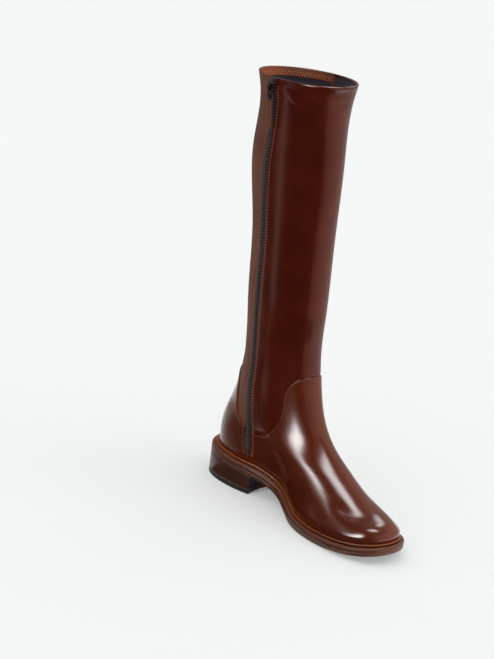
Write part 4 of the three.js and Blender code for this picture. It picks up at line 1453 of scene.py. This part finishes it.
@dataclass
class ZipPull:
    """The slider under the collar, its hinged tab and the leather strip on it."""

    shop: Workshop
    slider_length: float = 12.0
    slider_width: float = 8.6
    slider_height: float = 2.6
    below_collar: float = 3.5
    above_leather: float = 1.2
    gap: float = 0.3
    pin: float = 1.4
    pin_sides: int = 14
    crown_length: float = 6.6
    crown_width: float = 2.2
    tab_width: float = 6.4
    tab_length: float = 15.0
    tongue: float = 4.0
    window: float = 6.4
    strip_width: float = 6.0
    strip_length: float = 31.0
    strip_thickness: float = 2.8
    strip_sides: int = 32
    thread_at: float = 2.1

    def __post_init__(self) -> None:
        """Works out where the slider sits and how the pull hangs, the same way as the solids."""
        last, reach = self.shop.last, self.slider_length / 2
        up = 1 - (self.below_collar + reach) / last.rise
        turn = 1 - float(outer_turn(ZIP_ROWS[-1][1]))
        out, middle = last.normal(up, turn), last.point(up, turn)
        ends = [last.point(up + step * reach / last.rise, turn) - middle for step in (-1, 1)]
        flare = max(0.0, *(float(end @ out) for end in ends))
        base = self.shop.leg_skin + self.above_leather + self.gap + flare
        forward = unit(np.cross(last.point(up + 0.01, turn) - last.point(up - 0.01, turn), out))
        self.axes = np.stack([forward, np.cross(out, forward), out])
        self.origin = middle + out * base + last.shift
        hang = middle - last.point(up - (self.tab_length + self.strip_length) / last.rise, turn)
        hang = unit(hang - forward * (hang @ forward))
        self.pull_axes = np.stack([forward, hang, np.cross(forward, hang)])
        self.pull_origin = self.origin + out * (self.slider_height + self.gap + self.pin / 2)
        self.tongue_top = -(self.tab_length - self.tongue)

    def on_slider(self, points: Array) -> Array:
        """Takes points from the slider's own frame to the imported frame."""
        return (self.origin + points @ self.axes) * MM

    def on_pull(self, points: Array) -> Array:
        """Takes points from the pull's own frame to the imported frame."""
        return (self.pull_origin + points @ self.pull_axes) * MM

    def build(self) -> None:
        """Makes the three pieces."""
        self.build_slider()
        self.build_tab()
        self.build_strip()

    def slider_outline(self, inset: float) -> list[tuple[float, float]]:
        """Heart-like outline of the slider's plates."""
        wide, long = self.slider_width / 2 - inset, self.slider_length / 2 - inset
        right = [(x * wide, y * long) for x, y in SLIDER_HALF]
        return right + [(-x, y) for x, y in reversed(right[:-1])]

    def build_slider(self) -> None:
        """Makes the slider: two plates, the wedge between them and the crown that holds the tab."""
        room = self.pin + 0.6
        crown_low, crown_top = self.slider_height - 0.4, self.slider_height + room + 1.0
        half, reach = self.crown_width / 2, self.crown_length / 2
        parts = [
            extruded(self.slider_outline(0.0), 1.5, self.slider_height, 0.35),
            extruded(self.slider_outline(0.25), 0.0, 0.9, 0.25),
            extruded([(-3.9, -5.2), (-3.0, -5.2), (-3.9, 0.0)], 0.3, 2.0, 0.1),
            extruded([(3.0, -5.2), (3.9, -5.2), (3.9, 0.0)], 0.3, 2.0, 0.1),
            extruded([(-0.9, -1.0), (0.9, -1.0), (1.9, 4.2), (-1.9, 4.2)], 0.3, 2.2, 0.2),
            extruded(oblong(-half, half, -reach, reach), crown_top - 1.0, crown_top, 0.35),
            extruded(oblong(-half, half, room / 2, reach), crown_low, crown_top - 0.3, 0.3),
            extruded(oblong(-half, half, -reach, -room / 2), crown_low, crown_top - 0.3, 0.3),
        ]
        made = joined("zip_slider_cast", parts, self.on_slider)
        dress(made, self.shop.finish.metal, "boot", "zip_slider")

    def build_tab(self) -> None:
        """Makes the tab: a pin, two arms, a plate and the tongue that the strip is clamped on."""
        half_pin, wide, low, sides = self.pin / 2, self.tab_width / 2, self.tongue_top, self.pin_sides
        inside = (self.crown_width + 1.2) / 2
        arms = (inside + wide) / 2
        angle = full_turn(sides)
        ring = np.stack([0 * angle, np.cos(angle) * half_pin, np.sin(angle) * half_pin], -1)
        pin_faces = [[i, (i + 1) % sides, sides + (i + 1) % sides, sides + i] for i in range(sides)]
        pin_faces += [list(range(sides - 1, -1, -1)), list(range(sides, 2 * sides))]
        plate = oblong(-wide, wide, low, -self.window)
        plate[:2] = [(-wide, low + 1.0), (-wide + 1.0, low), (wide - 1.0, low), (wide, low + 1.0)]
        bars = [
            oblong(-wide, -inside, -self.window - 0.8, half_pin),
            oblong(inside, wide, -self.window - 0.8, half_pin),
            plate,
            oblong(-1.7, 1.7, low - self.tongue, low + 0.4),
        ]
        parts = [(np.concatenate([ring + [x, 0, 0] for x in (-arms, arms)]), pin_faces)]
        parts += [extruded(bar, -half_pin, half_pin, 0.3) for bar in bars]
        made = joined("zip_pull_tab_cast", parts, self.on_pull)
        dress(made, self.shop.finish.metal, "zip_pull", "zip_pull_tab")

    def build_strip(self) -> None:
        """Makes the folded strip with a soft waist and a cut end, and its two rows of stitches."""
        top, sides = self.tongue_top - self.gap, self.strip_sides
        rows, around = np.array(STRIP_ROWS)[:, None], np.append(full_turn(sides), 2 * np.pi)[None, :]
        end = rolled(0.7, rows, self.strip_length - rows)
        taper = 1 - 0.3 * np.clip((rows - 28.5) / 2.5, 0, 1) ** 2
        waist = 1 - 0.08 * bell(rows - 7, 4)
        x = np.sign(np.cos(around)) * np.abs(np.cos(around)) ** 0.35 * self.strip_width / 2
        z = np.sign(np.sin(around)) * np.abs(np.sin(around)) ** 0.55 * self.strip_thickness / 2
        lip = 1 - 0.18 * bell(np.abs(x) - self.strip_width / 2, 0.5)
        points = (x * taper * blend(0.85, 1.0, end), top - rows, z * lip * waist * end)
        grid = self.on_pull(np.stack(np.broadcast_arrays(*points), -1))
        last_row = (len(rows) - 1) * (sides + 1)
        caps = [list(range(sides)), [last_row + i for i in range(sides - 1, -1, -1)]]
        made = mesh_object("zip_pull_strip_leather", grid, grid_faces(*grid.shape[:2]), wrapped(grid), caps)
        dress(made, self.shop.finish.strip, "zip_pull", "zip_pull_strip")
        steps = np.linspace(2.0, 28.5, 60)
        for side, name in ((-1, "left"), (1, "right")):
            line = np.stack([0 * steps + side * self.thread_at, top - steps, 0 * steps + 1.28], -1)
            points = self.on_pull(line) / MM
            row = sewn(f"zip_pull_thread_{name}", points, 0 * points + self.pull_axes[2], STRIP_STITCH)
            dress(row, self.shop.finish.orange, "zip_pull")


# ---------------------------------------------------------------- sole

# Profiles as (outwards from the feather line, down from it) in millimetres
INSOLE_PROFILE = ((-4.1, 1.3), (-3.3, 1.42), (-2.9, 1.9), (-2.9, 7.6))
WELT_PROFILE = (
    (0.6, 7.6), (0.6, 3.4), (2.9, 3.35), (3.4, 3.312), (3.7, 3.25), (3.85, 3.1), (4.1, 3.08), (4.45, 3.2),
    (4.6, 3.42), (4.75, 3.42), (4.9, 3.3), (5.6, 3.55), (5.72, 3.75), (5.86, 3.78), (6.0, 3.7), (6.45, 3.95),
    (6.8, 4.2), (7.02, 4.5), (7.1, 4.9), (7.1, 7.3), (7.04, 7.5), (6.8, 7.6),
)  # fmt: skip
EDGE_PROFILE = (
    (6.2, 7.75), (6.95, 7.75), (7.1, 7.95), (7.1, 11.0), (6.95, 11.5), (6.6, 11.72), (5.9, 11.74), (5.9, 8.6),
)  # fmt: skip
TREAD_PROFILE = ((6.0, 7.9), (6.3, 8.1), (6.5, 8.6), (6.5, 11.3), (6.3, 11.66), (5.8, 11.8))
# Levels of the heel as (inwards from its side, down from the sole or up from the floor)
HEEL_FROM_SOLE = ((0.6, 0.1), (0.15, 0.2), (0.0, 0.6), (0.0, 3.0))
HEEL_FROM_FLOOR = ((0.0, 12.0), (0.0, 8.0), (0.0, 4.8), (0.2, 4.4), (0.8, 4.3))
TOP_PIECE = ((0.8, 4.0), (0.2, 3.9), (0.0, 3.6), (0.0, 0.6), (0.25, 0.15), (0.9, 0.0))


@dataclass
class Sole:
    """Everything under the upper: insole, welt, outsole, stacked heel and its rubber top piece."""

    shop: Workshop
    stations: int = 320
    bead_radius: float = 1.15
    bead_out: float = 1.75
    bead_sides: int = 14
    thread_samples: int = 1400
    thread_inner: tuple[float, float] = (4.67, 3.30)
    thread_outer: tuple[float, float] = (5.79, 3.66)
    breast: float = 72.5
    breast_hollow: float = 6.0
    heel_half: float = 29.9
    heel_turns: float = 0.30
    heel_samples: int = 900
    side_points: int = 70
    breast_points: int = 63
    paint_low: float = 4.7

    def build(self) -> None:
        """Makes every piece of the sole."""
        finish = self.shop.finish
        insole = slab("insole_cover", self.rings(INSOLE_PROFILE))
        dress(insole, finish.insole, "boot", "insole")
        angle, radius = -full_turn(self.bead_sides), self.bead_radius
        bead = zip(self.bead_out + radius * np.cos(angle), radius - radius * np.sin(angle))
        dress(ring_stack("welt_bead", self.rings(bead)), finish.bead, "boot")
        dress(ring_stack("welt_ledge", self.rings(WELT_PROFILE)), finish.ledge, "boot", "welt")
        self.sew_welt("welt_thread_inner", self.thread_inner, finish.brown)
        self.sew_welt("welt_thread_outer", self.thread_outer, finish.russet)
        edge = ring_stack("outsole_edge", self.rings(EDGE_PROFILE))
        dress(edge, finish.edge, "boot", "outsole")
        dress(slab("outsole_tread", self.rings(TREAD_PROFILE), 20), finish.tread, "boot")
        self.build_heel()
        self.build_breast()

    def rings(self, profile: Table) -> Array:
        """One closed ring beside the feather line for each place of a profile, in metres."""
        last, turn = self.shop.last, np.arange(self.stations) / self.stations
        return np.stack([last.placed(last.feather(turn, grow, below)) for grow, below in profile])

    def sew_welt(self, name: str, place: tuple[float, float], thread: Material) -> None:
        """Sews the welt with fine thread in one of its two channels."""
        last = self.shop.last
        points = last.feather(np.linspace(0, 1, self.thread_samples), *place) + last.shift
        dress(sewn(name, points, 0 * points + [0.0, 0.0, 1.0], WELT_STITCH), thread, "boot")

    def heel_ring(self, inset: float) -> Array:
        """Plan of the heel as a ring that starts at the back, in millimetres, x and along."""
        last, hollow = self.shop.last, self.breast_hollow
        radius = (self.heel_half**2 + hollow**2) / (2 * hollow)
        centre = self.breast - hollow + radius

        def side(turn: Array) -> Array:
            """Places on the heel's side, x and along."""
            return last.feather(np.mod(turn, 1.0), last.sizes.welt_width - inset, 0.0)[:, :2] * (1, -1)

        def breast_at(x: Array) -> Array:
            """How far along the hollow front is."""
            return centre - np.sqrt(np.maximum(0.0, radius**2 - x**2)) - inset

        turns = np.linspace(0, self.heel_turns, self.heel_samples)
        ends = []
        for sign in (1, -1):
            places = side(sign * turns)
            ahead = places[:, 1] - breast_at(places[:, 0])
            ends.append(float(np.interp(0.0, ahead[200:], turns[200:])))
        outer = side(np.linspace(0, ends[0], self.side_points))
        inner = side(-np.linspace(ends[1], 0, self.side_points))
        x = np.linspace(outer[-1, 0], inner[0, 0], self.breast_points)[1:-1]
        return np.concatenate([outer, np.stack([x, breast_at(x)], -1), inner[:-1]])

    def heel_level(self, inset: float, height: Curve) -> Array:
        """One ring of the heel in metres, at a height that may vary along the foot."""
        plan = self.heel_ring(inset)
        return self.shop.last.placed(np.stack([plan[:, 0], -plan[:, 1], height(plan[:, 1])], -1))

    def under_sole(self, drop: float) -> Curve:
        """Height at a distance under the outsole, along the foot."""
        last = self.shop.last
        return lambda along: last.feather_height(along) - last.sizes.sole_stack - drop

    def build_heel(self) -> None:
        """Makes the stacked heel and the rubber top piece."""
        finish = self.shop.finish
        rings = [self.heel_level(inset, self.under_sole(drop)) for inset, drop in HEEL_FROM_SOLE]
        rings += [self.heel_level(inset, level(height)) for inset, height in HEEL_FROM_FLOOR]
        made = slab("heel_stack", np.stack(rings), 12)
        dress(made, finish.stack, "boot", "heel_block")
        made = slab("heel_rubber", np.stack([self.heel_level(inset, level(height)) for inset, height in TOP_PIECE]), 12)
        dress(made, finish.rubber, "boot", "heel_top_piece")

    def build_breast(self) -> None:
        """Makes the coat of black paint on the heel's hollow front."""
        first = self.side_points - 1
        x, along = self.heel_ring(0.0)[first : first + self.breast_points].T
        height = blend(self.paint_low, self.under_sole(0.5)(along), np.linspace(0, 1, 9)[:, None])
        grid = np.stack(np.broadcast_arrays(x, -along, height), -1)
        faces = [self.shop.last.placed(grid + [0.0, proud, 0.0]) for proud in (-0.18, 0.3)]
        dress(shell("heel_breast_paint", *faces), self.shop.finish.tread, "boot")


# ---------------------------------------------------------------- seams on the leather


@dataclass
class LeatherSeams:
    """Rows of stitches on the upper, apart from those beside the zip."""

    shop: Workshop
    edge_inset: float = 1.4
    beside_zip: float = 6.6
    side_inset: float = 1.7
    facing_depth: float = 9.6
    facing_face: float = -3.35
    edge_samples: int = 2400
    side_samples: int = 1500
    zigzag_samples: int = 1200
    zigzags: tuple[tuple[str, float], ...] = (("low", 1.7), ("high", 4.3))

    def build(self) -> None:
        """Sews the foot leather's edge, the side seam and the facing."""
        self.sew_foot_edge()
        self.sew_side_seam()
        self.sew_facing()

    def sew_foot_edge(self) -> None:
        """Sews a fine row just inside the edge of vamp and counter."""
        shop, seams, last = self.shop, self.shop.seams, self.shop.last
        edge_up = float(seams.foot_edge(0.8))
        start = float(seams.beside_zip(edge_up, self.beside_zip)) - 1
        turn = np.linspace(start, float(seams.beside_zip(edge_up, -self.beside_zip)), self.edge_samples)
        up, step = seams.foot_edge(turn), 1e-3
        ahead, behind = (last.point(seams.foot_edge(turn + by), turn + by) for by in (step, -step))
        normal = last.normal(up, turn)
        down = np.cross(unit(ahead - behind), normal)
        rise = last.point(up + step, turn) - last.point(up - step, turn)
        down = np.where((np.sum(down * rise, -1) > 0)[:, None], -down, down)
        points = shop.on_leather(up, turn, shop.foot_skin) + down * self.edge_inset
        made = sewn("foot_edge_thread_first", points, normal, FINE_STITCH)
        dress(made, shop.finish.brown, "boot")

    def sew_side_seam(self) -> None:
        """Sews the outer side seam beside the edge of the leg leather."""
        shop, seams = self.shop, self.shop.seams
        low = float(seams.foot_edge(0.2)) + shop.up_of(4)
        up = np.linspace(low, 1 - shop.up_of(1.5), self.side_samples)
        turn = seams.beside_outer(up, self.side_inset)
        points = shop.on_leather(up, turn, shop.leg_skin)
        made = sewn("side_seam_thread", points, shop.last.normal(up, turn), FINE_STITCH)
        dress(made, shop.finish.brown, "boot")

    def sew_facing(self) -> None:
        """Sews the facing's lower edge to the lining with two zigzag rows of orange thread."""
        shop, seams = self.shop, self.shop.seams
        for name, above in self.zigzags:
            at = 1 - shop.up_of(self.facing_depth - above)
            start = float(seams.beside_zip(at, shop.opening + 1.5)) - 1
            turn = np.linspace(start, float(seams.beside_outer(at, -0.5)), self.zigzag_samples)
            points = shop.on_leather(at + 0 * turn, turn, self.facing_face)
            made = sewn(f"facing_zigzag_{name}", points, -shop.last.normal(at, turn), ZIGZAG_STITCH, zigzag=True)
            dress(made, shop.finish.orange, "boot")


# ---------------------------------------------------------------- studio


def towards(azimuth: float, elevation: float) -> Vector:
    """Direction from the boot, with azimuth 0 towards +X and 90 towards +Y, in degrees."""
    a, e = math.radians(azimuth), math.radians(elevation)
    return Vector((math.cos(a) * math.cos(e), math.sin(a) * math.cos(e), math.sin(e)))


@dataclass(frozen=True)
class Softbox:
    """One soft light: the direction it is seen in, its sizes in metres, its brightness and its soft edge."""

    name: str
    azimuth: float
    elevation: float
    distance: float
    wide: float
    tall: float
    radiance: float
    soft: float

    def material(self) -> Material:
        """Makes its cloth, brightest in the middle."""
        mix = Recipe(f"softbox_{self.name}")
        place = add_node(mix.tree, "TexCoord", output="Generated")
        sides = add_node(mix.tree, "SeparateXYZ", {0: place}).node.outputs
        falls = []
        for side in sides[:2]:
            far = mix.calculate("ABSOLUTE", mix.calculate("SUBTRACT", side, 0.5))
            falls.append(mix.spread(far, 0.0, 1.0, 0.5, 0.5 - self.soft, interpolation_type="SMOOTHSTEP"))
        return mix.glow(Strength=mix.calculate("MULTIPLY", mix.calculate("MULTIPLY", *falls), self.radiance))


@dataclass(frozen=True)
class GradedGlow:
    """Card that glows by its direction from the boot, for the soft bands in the polish."""

    name: str
    rows: tuple[tuple[float, str], ...]

    def material(self) -> Material:
        """Makes it: an even glow that changes smoothly round the boot."""
        mix = Recipe(self.name)
        place = add_node(mix.tree, "TexCoord", output="Object")
        around = add_node(mix.tree, "TexGradient", {"Vector": place}, 1, gradient_type="RADIAL")
        return mix.glow(Color=mix.ramp(around, *((azimuth / 360 + 0.5, code) for azimuth, code in self.rows)))


SURROUND = (
    (-180, "#050505"), (-148, "#050505"), (-138, "#4a352e"), (-129, "#a97d70"), (-110, "#c99f92"), (-90, "#cdaea2"),
    (-70, "#d2bbb1"), (-50, "#cfc2bb"), (-30, "#c9bfb8"), (-10, "#bdb5af"), (20, "#a09a96"), (60, "#948e8a"),
    (95, "#b9b2ae"), (108, "#c4bab6"), (113, "#050505"), (129, "#080808"), (135, "#96776c"), (140, "#c49f92"),
    (146, "#4d3a33"), (151, "#050505"), (180, "#050505"),
)  # fmt: skip
SHADE = ((-180, "#070707"), (-155, "#070707"), (-142, "#40332e"), (-97, "#40332e"), (92, "#070707"), (180, "#070707"))
FRINGE = ((-180, "#090707"), (104, "#d8d0cc"), (114, "#8a807c"), (126, "#3a3330"), (136, "#090707"), (180, "#090707"))
CEILING = ((-180, "#2c2c2c"), (-90, "#6a6a6a"), (0, "#8c8c8c"), (90, "#6a6a6a"), (180, "#2c2c2c"))
# Radius in metres at an azimuth in degrees
SURROUND_NEAR = ((-180, 0.30), (-90, 0.25), (60, 0.45), (120, 0.45), (180, 0.30))
SHADE_FAR = ((92, 0.07), (104, 0.08), (110, 0.11), (135, 0.115), (136, 0.46), (208, 0.46), (216, 0.36), (262, 0.36))
LIGHTS = (
    Softbox("key", 181.0, 21.0, 1.5, 0.74, 0.80, 16.0, 0.32),
    Softbox("overhead", -125.0, 77.0, 1.6, 1.26, 0.86, 9.4, 0.38),
    Softbox("side", 28.0, 44.0, 2.2, 0.60, 0.95, 4.2, 0.3),
)


@dataclass
class Studio:
    """Pale floor in a pale room, with soft lights where the photograph's highlights come from."""

    floor: PaperBoard = PaperBoard("floor_paper_matt", "#d4d6d5")
    centre: tuple[float, float] = (0.0, 0.02)
    target: tuple[float, float, float] = (0.0, 0.02, 0.10)
    floor_radius: float = 9.0
    wall: float = 2.0
    floor_sides: int = 96
    card_sides: int = 72
    card_rise: float = 0.006
    surround_rise: float = 0.004
    surround_radius: float = 4.0
    surround_top: float = 50.0
    fill_from: float = 0.08
    fill_to: float = 1.16
    fill_colour: tuple[float, ...] = (0.99, 1.0, 0.995, 1.0)

    def build(self) -> None:
        """Sets up floor, cards, lights and the room's fill."""
        self.build_floor()
        self.build_cards()
        for light in LIGHTS:
            self.build_light(light)
        self.build_wash("left_wash", 175, 35, 0.35)
        self.build_wash("right_wash", -58, 27, 3.4)
        self.fill()

    def staged(self, name: str, points: Sequence, faces: Sequence, finish: Material, mirrored: bool) -> Piece:
        """Makes a piece of the stage, or one that only the polish mirrors."""
        mesh = bpy.data.meshes.new(name)
        mesh.from_pydata(points, [], faces)
        made = linked(name, mesh)
        mesh.materials.append(finish)
        if mirrored:
            made.visible_camera = made.visible_shadow = made.visible_diffuse = False
        return made

    def build_floor(self) -> None:
        """Makes a round floor that runs up into a low wall far away."""
        sides, wall, flat = self.floor_sides, self.wall, self.floor_radius - self.wall
        profile = [(1.0, 0.0), (3.0, 0.0), (flat, 0.0)]
        bend = np.linspace(0.15, math.pi / 2, 9)
        profile += [(flat + wall * math.sin(a), wall - wall * math.cos(a)) for a in bend]
        points = [(r * math.cos(a), r * math.sin(a), z) for r, z in profile for a in full_turn(sides)]
        row, place = np.divmod(grid_faces(len(profile), sides + 1), sides + 1)
        faces = (row * sides + place % sides).tolist() + [tuple(range(sides))]
        self.staged("floor", points, faces, self.floor.material(), mirrored=False)

    def band(self, low: float, high: float, rings: Sequence[Callable[[float], tuple]], shine: GradedGlow) -> None:
        """Makes a card round the boot that only the polish mirrors.

        Args:
            low: Azimuth where it starts, in degrees.
            high: Azimuth where it ends.
            rings: Functions from an azimuth to a radius and a height, from the card's one edge to the other.
            shine: Its brightness.
        """
        x, y = self.centre
        angles = np.linspace(low, high, self.card_sides + 1)
        points = []
        for ring in rings:
            for azimuth in angles:
                (radius, height), a = ring(azimuth), math.radians(azimuth)
                points.append((radius * math.cos(a) + x, radius * math.sin(a) + y, height))
        faces = grid_faces(len(rings), len(angles)).tolist()
        self.staged(shine.name.removesuffix("_graded"), points, faces, shine.material(), mirrored=True)

    def build_cards(self) -> None:
        """Places the graded cards: far floor and wall, the ceiling, and the shade of the boot's fellow."""
        far, low, rise = self.surround_radius, self.surround_rise, self.card_rise
        top = far * math.tan(math.radians(self.surround_top))

        def reach(rows: Table, height: float) -> Callable[[float], tuple]:
            """Ring whose radius changes with the azimuth."""
            return lambda azimuth: (float(np.interp(azimuth, *np.array(rows).T)), height)

        def fixed(radius: float, height: float) -> Callable[[float], tuple]:
            """Round ring."""
            return lambda azimuth: (radius, height)

        rings = [reach(SURROUND_NEAR, low), fixed(far, low), fixed(far, top)]
        self.band(-180, 180, rings, GradedGlow("surround_graded", SURROUND))
        self.band(-180, 180, [fixed(far, top), fixed(0.01, top)], GradedGlow("ceiling_graded", CEILING))
        self.band(92, 262, [fixed(0.012, rise), reach(SHADE_FAR, rise)], GradedGlow("shade_graded", SHADE))
        self.band(104, 136, [fixed(0.115, rise), fixed(0.9, rise)], GradedGlow("fringe_graded", FRINGE))

    def build_light(self, light: Softbox) -> None:
        """Places a softbox that only the polish mirrors."""
        x, y = light.wide / 2, light.tall / 2
        corners = [(-x, -y, 0), (x, -y, 0), (x, y, 0), (-x, y, 0)]
        box = self.staged(light.name, corners, [(0, 1, 2, 3)], light.material(), mirrored=True)
        way = towards(light.azimuth, light.elevation)
        box.location = Vector(self.target) + way * light.distance
        box.rotation_euler = way.to_track_quat("Z", "Y").to_euler()

    def build_wash(self, name: str, azimuth: float, elevation: float, strength: float) -> None:
        """Adds a wide soft light that models the leather's form but doesn't show in its polish."""
        data = bpy.data.lights.new(name, "SUN")
        data.energy = strength
        data.angle = math.radians(60)
        data.use_shadow = False
        made = bpy.data.objects.new(name, data)
        made.rotation_euler = towards(azimuth, elevation).to_track_quat("Z", "Y").to_euler()
        made.visible_glossy = False
        bpy.context.scene.collection.objects.link(made)

    def fill(self) -> None:
        """Gives the room its pale light, which comes mostly from above."""
        world = bpy.data.worlds.new("room")
        world.use_nodes = True
        tree = world.node_tree
        place = add_node(tree, "TexCoord", output="Generated")
        inputs = {"Value": add_node(tree, "SeparateXYZ", {0: place}, 2), "From Min": 0.1, "From Max": 0.9}
        inputs |= {"To Min": self.fill_from, "To Max": self.fill_to}
        back = tree.nodes["Background"].inputs
        back["Color"].default_value = self.fill_colour
        tree.links.new(add_node(tree, "MapRange", inputs), back["Strength"])
        bpy.context.scene.world = world
        world.cycles_visibility.glossy = False
        bpy.context.scene.view_settings.view_transform = "Standard"


@dataclass
class Camera:
    """The photograph's viewpoint, solved from the boot's outlines."""

    azimuth: float = -44.3129
    elevation: float = 19.4257
    roll: float = -7.6737
    distance: float = 2.0425
    target: tuple[float, float, float] = (0.0015636, 0.0670805, 0.21648)
    focal_px: float = 2006.36
    offset_px: tuple[float, float] = (38.609, -36.548)
    height_px: int = 659
    sensor: float = 36.0

    def build(self) -> None:
        """Places the camera and makes it the scene's."""
        back = towards(self.azimuth - 90, self.elevation)
        az, roll = math.radians(self.azimuth), math.radians(self.roll)
        right = Vector((math.cos(az), math.sin(az), 0))
        up = back.cross(right)
        x_axis = right * math.cos(roll) - up * math.sin(roll)
        y_axis = right * math.sin(roll) + up * math.cos(roll)
        ahead = -back
        pan, tilt = (math.atan2(offset, self.focal_px) for offset in self.offset_px)
        x_axis, ahead = x_axis * math.cos(pan) + ahead * math.sin(pan), ahead * math.cos(pan) - x_axis * math.sin(pan)
        y_axis, ahead = (
            y_axis * math.cos(tilt) - ahead * math.sin(tilt),
            y_axis * math.sin(tilt) + ahead * math.cos(tilt),
        )
        data = bpy.data.cameras.new("photo_camera")
        data.sensor_fit = "VERTICAL"
        data.sensor_height = self.sensor
        data.lens = self.focal_px * self.sensor / self.height_px
        made = bpy.data.objects.new("photo_camera", data)
        turn = Matrix((x_axis, y_axis, -ahead)).transposed().to_4x4()
        made.matrix_world = Matrix.Translation(Vector(self.target) + back * self.distance) @ turn
        bpy.context.scene.collection.objects.link(made)
        bpy.context.scene.camera = made


# ---------------------------------------------------------------- main


def registered_last() -> Last:
    """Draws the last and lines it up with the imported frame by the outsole."""
    last = Last(LastSizes())
    ring = last.feather(np.arange(56) / 56, last.sizes.welt_width, last.sizes.sole_stack)
    low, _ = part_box("outsole")
    last.shift = np.array([low.x / MM - ring[:, 0].min(), low.y / MM - ring[:, 1].min(), 0.0])
    log.info("last moved by %s mm", np.round(last.shift, 4).tolist())
    return last


def main() -> None:
    """Builds the boot, the studio and the camera."""
    logging.basicConfig(level=logging.INFO, format="%(name)s %(message)s")
    last = registered_last()
    shop = Workshop(last, Seams(last), Finishes())
    Camera().build()
    Studio().build()
    for maker in (Sole, FootLeather, LegLeather, StretchPanel, Lining, Zip, ZipPull, LeatherSeams):
        maker(shop).build()


if __name__ == "__main__":
    main()
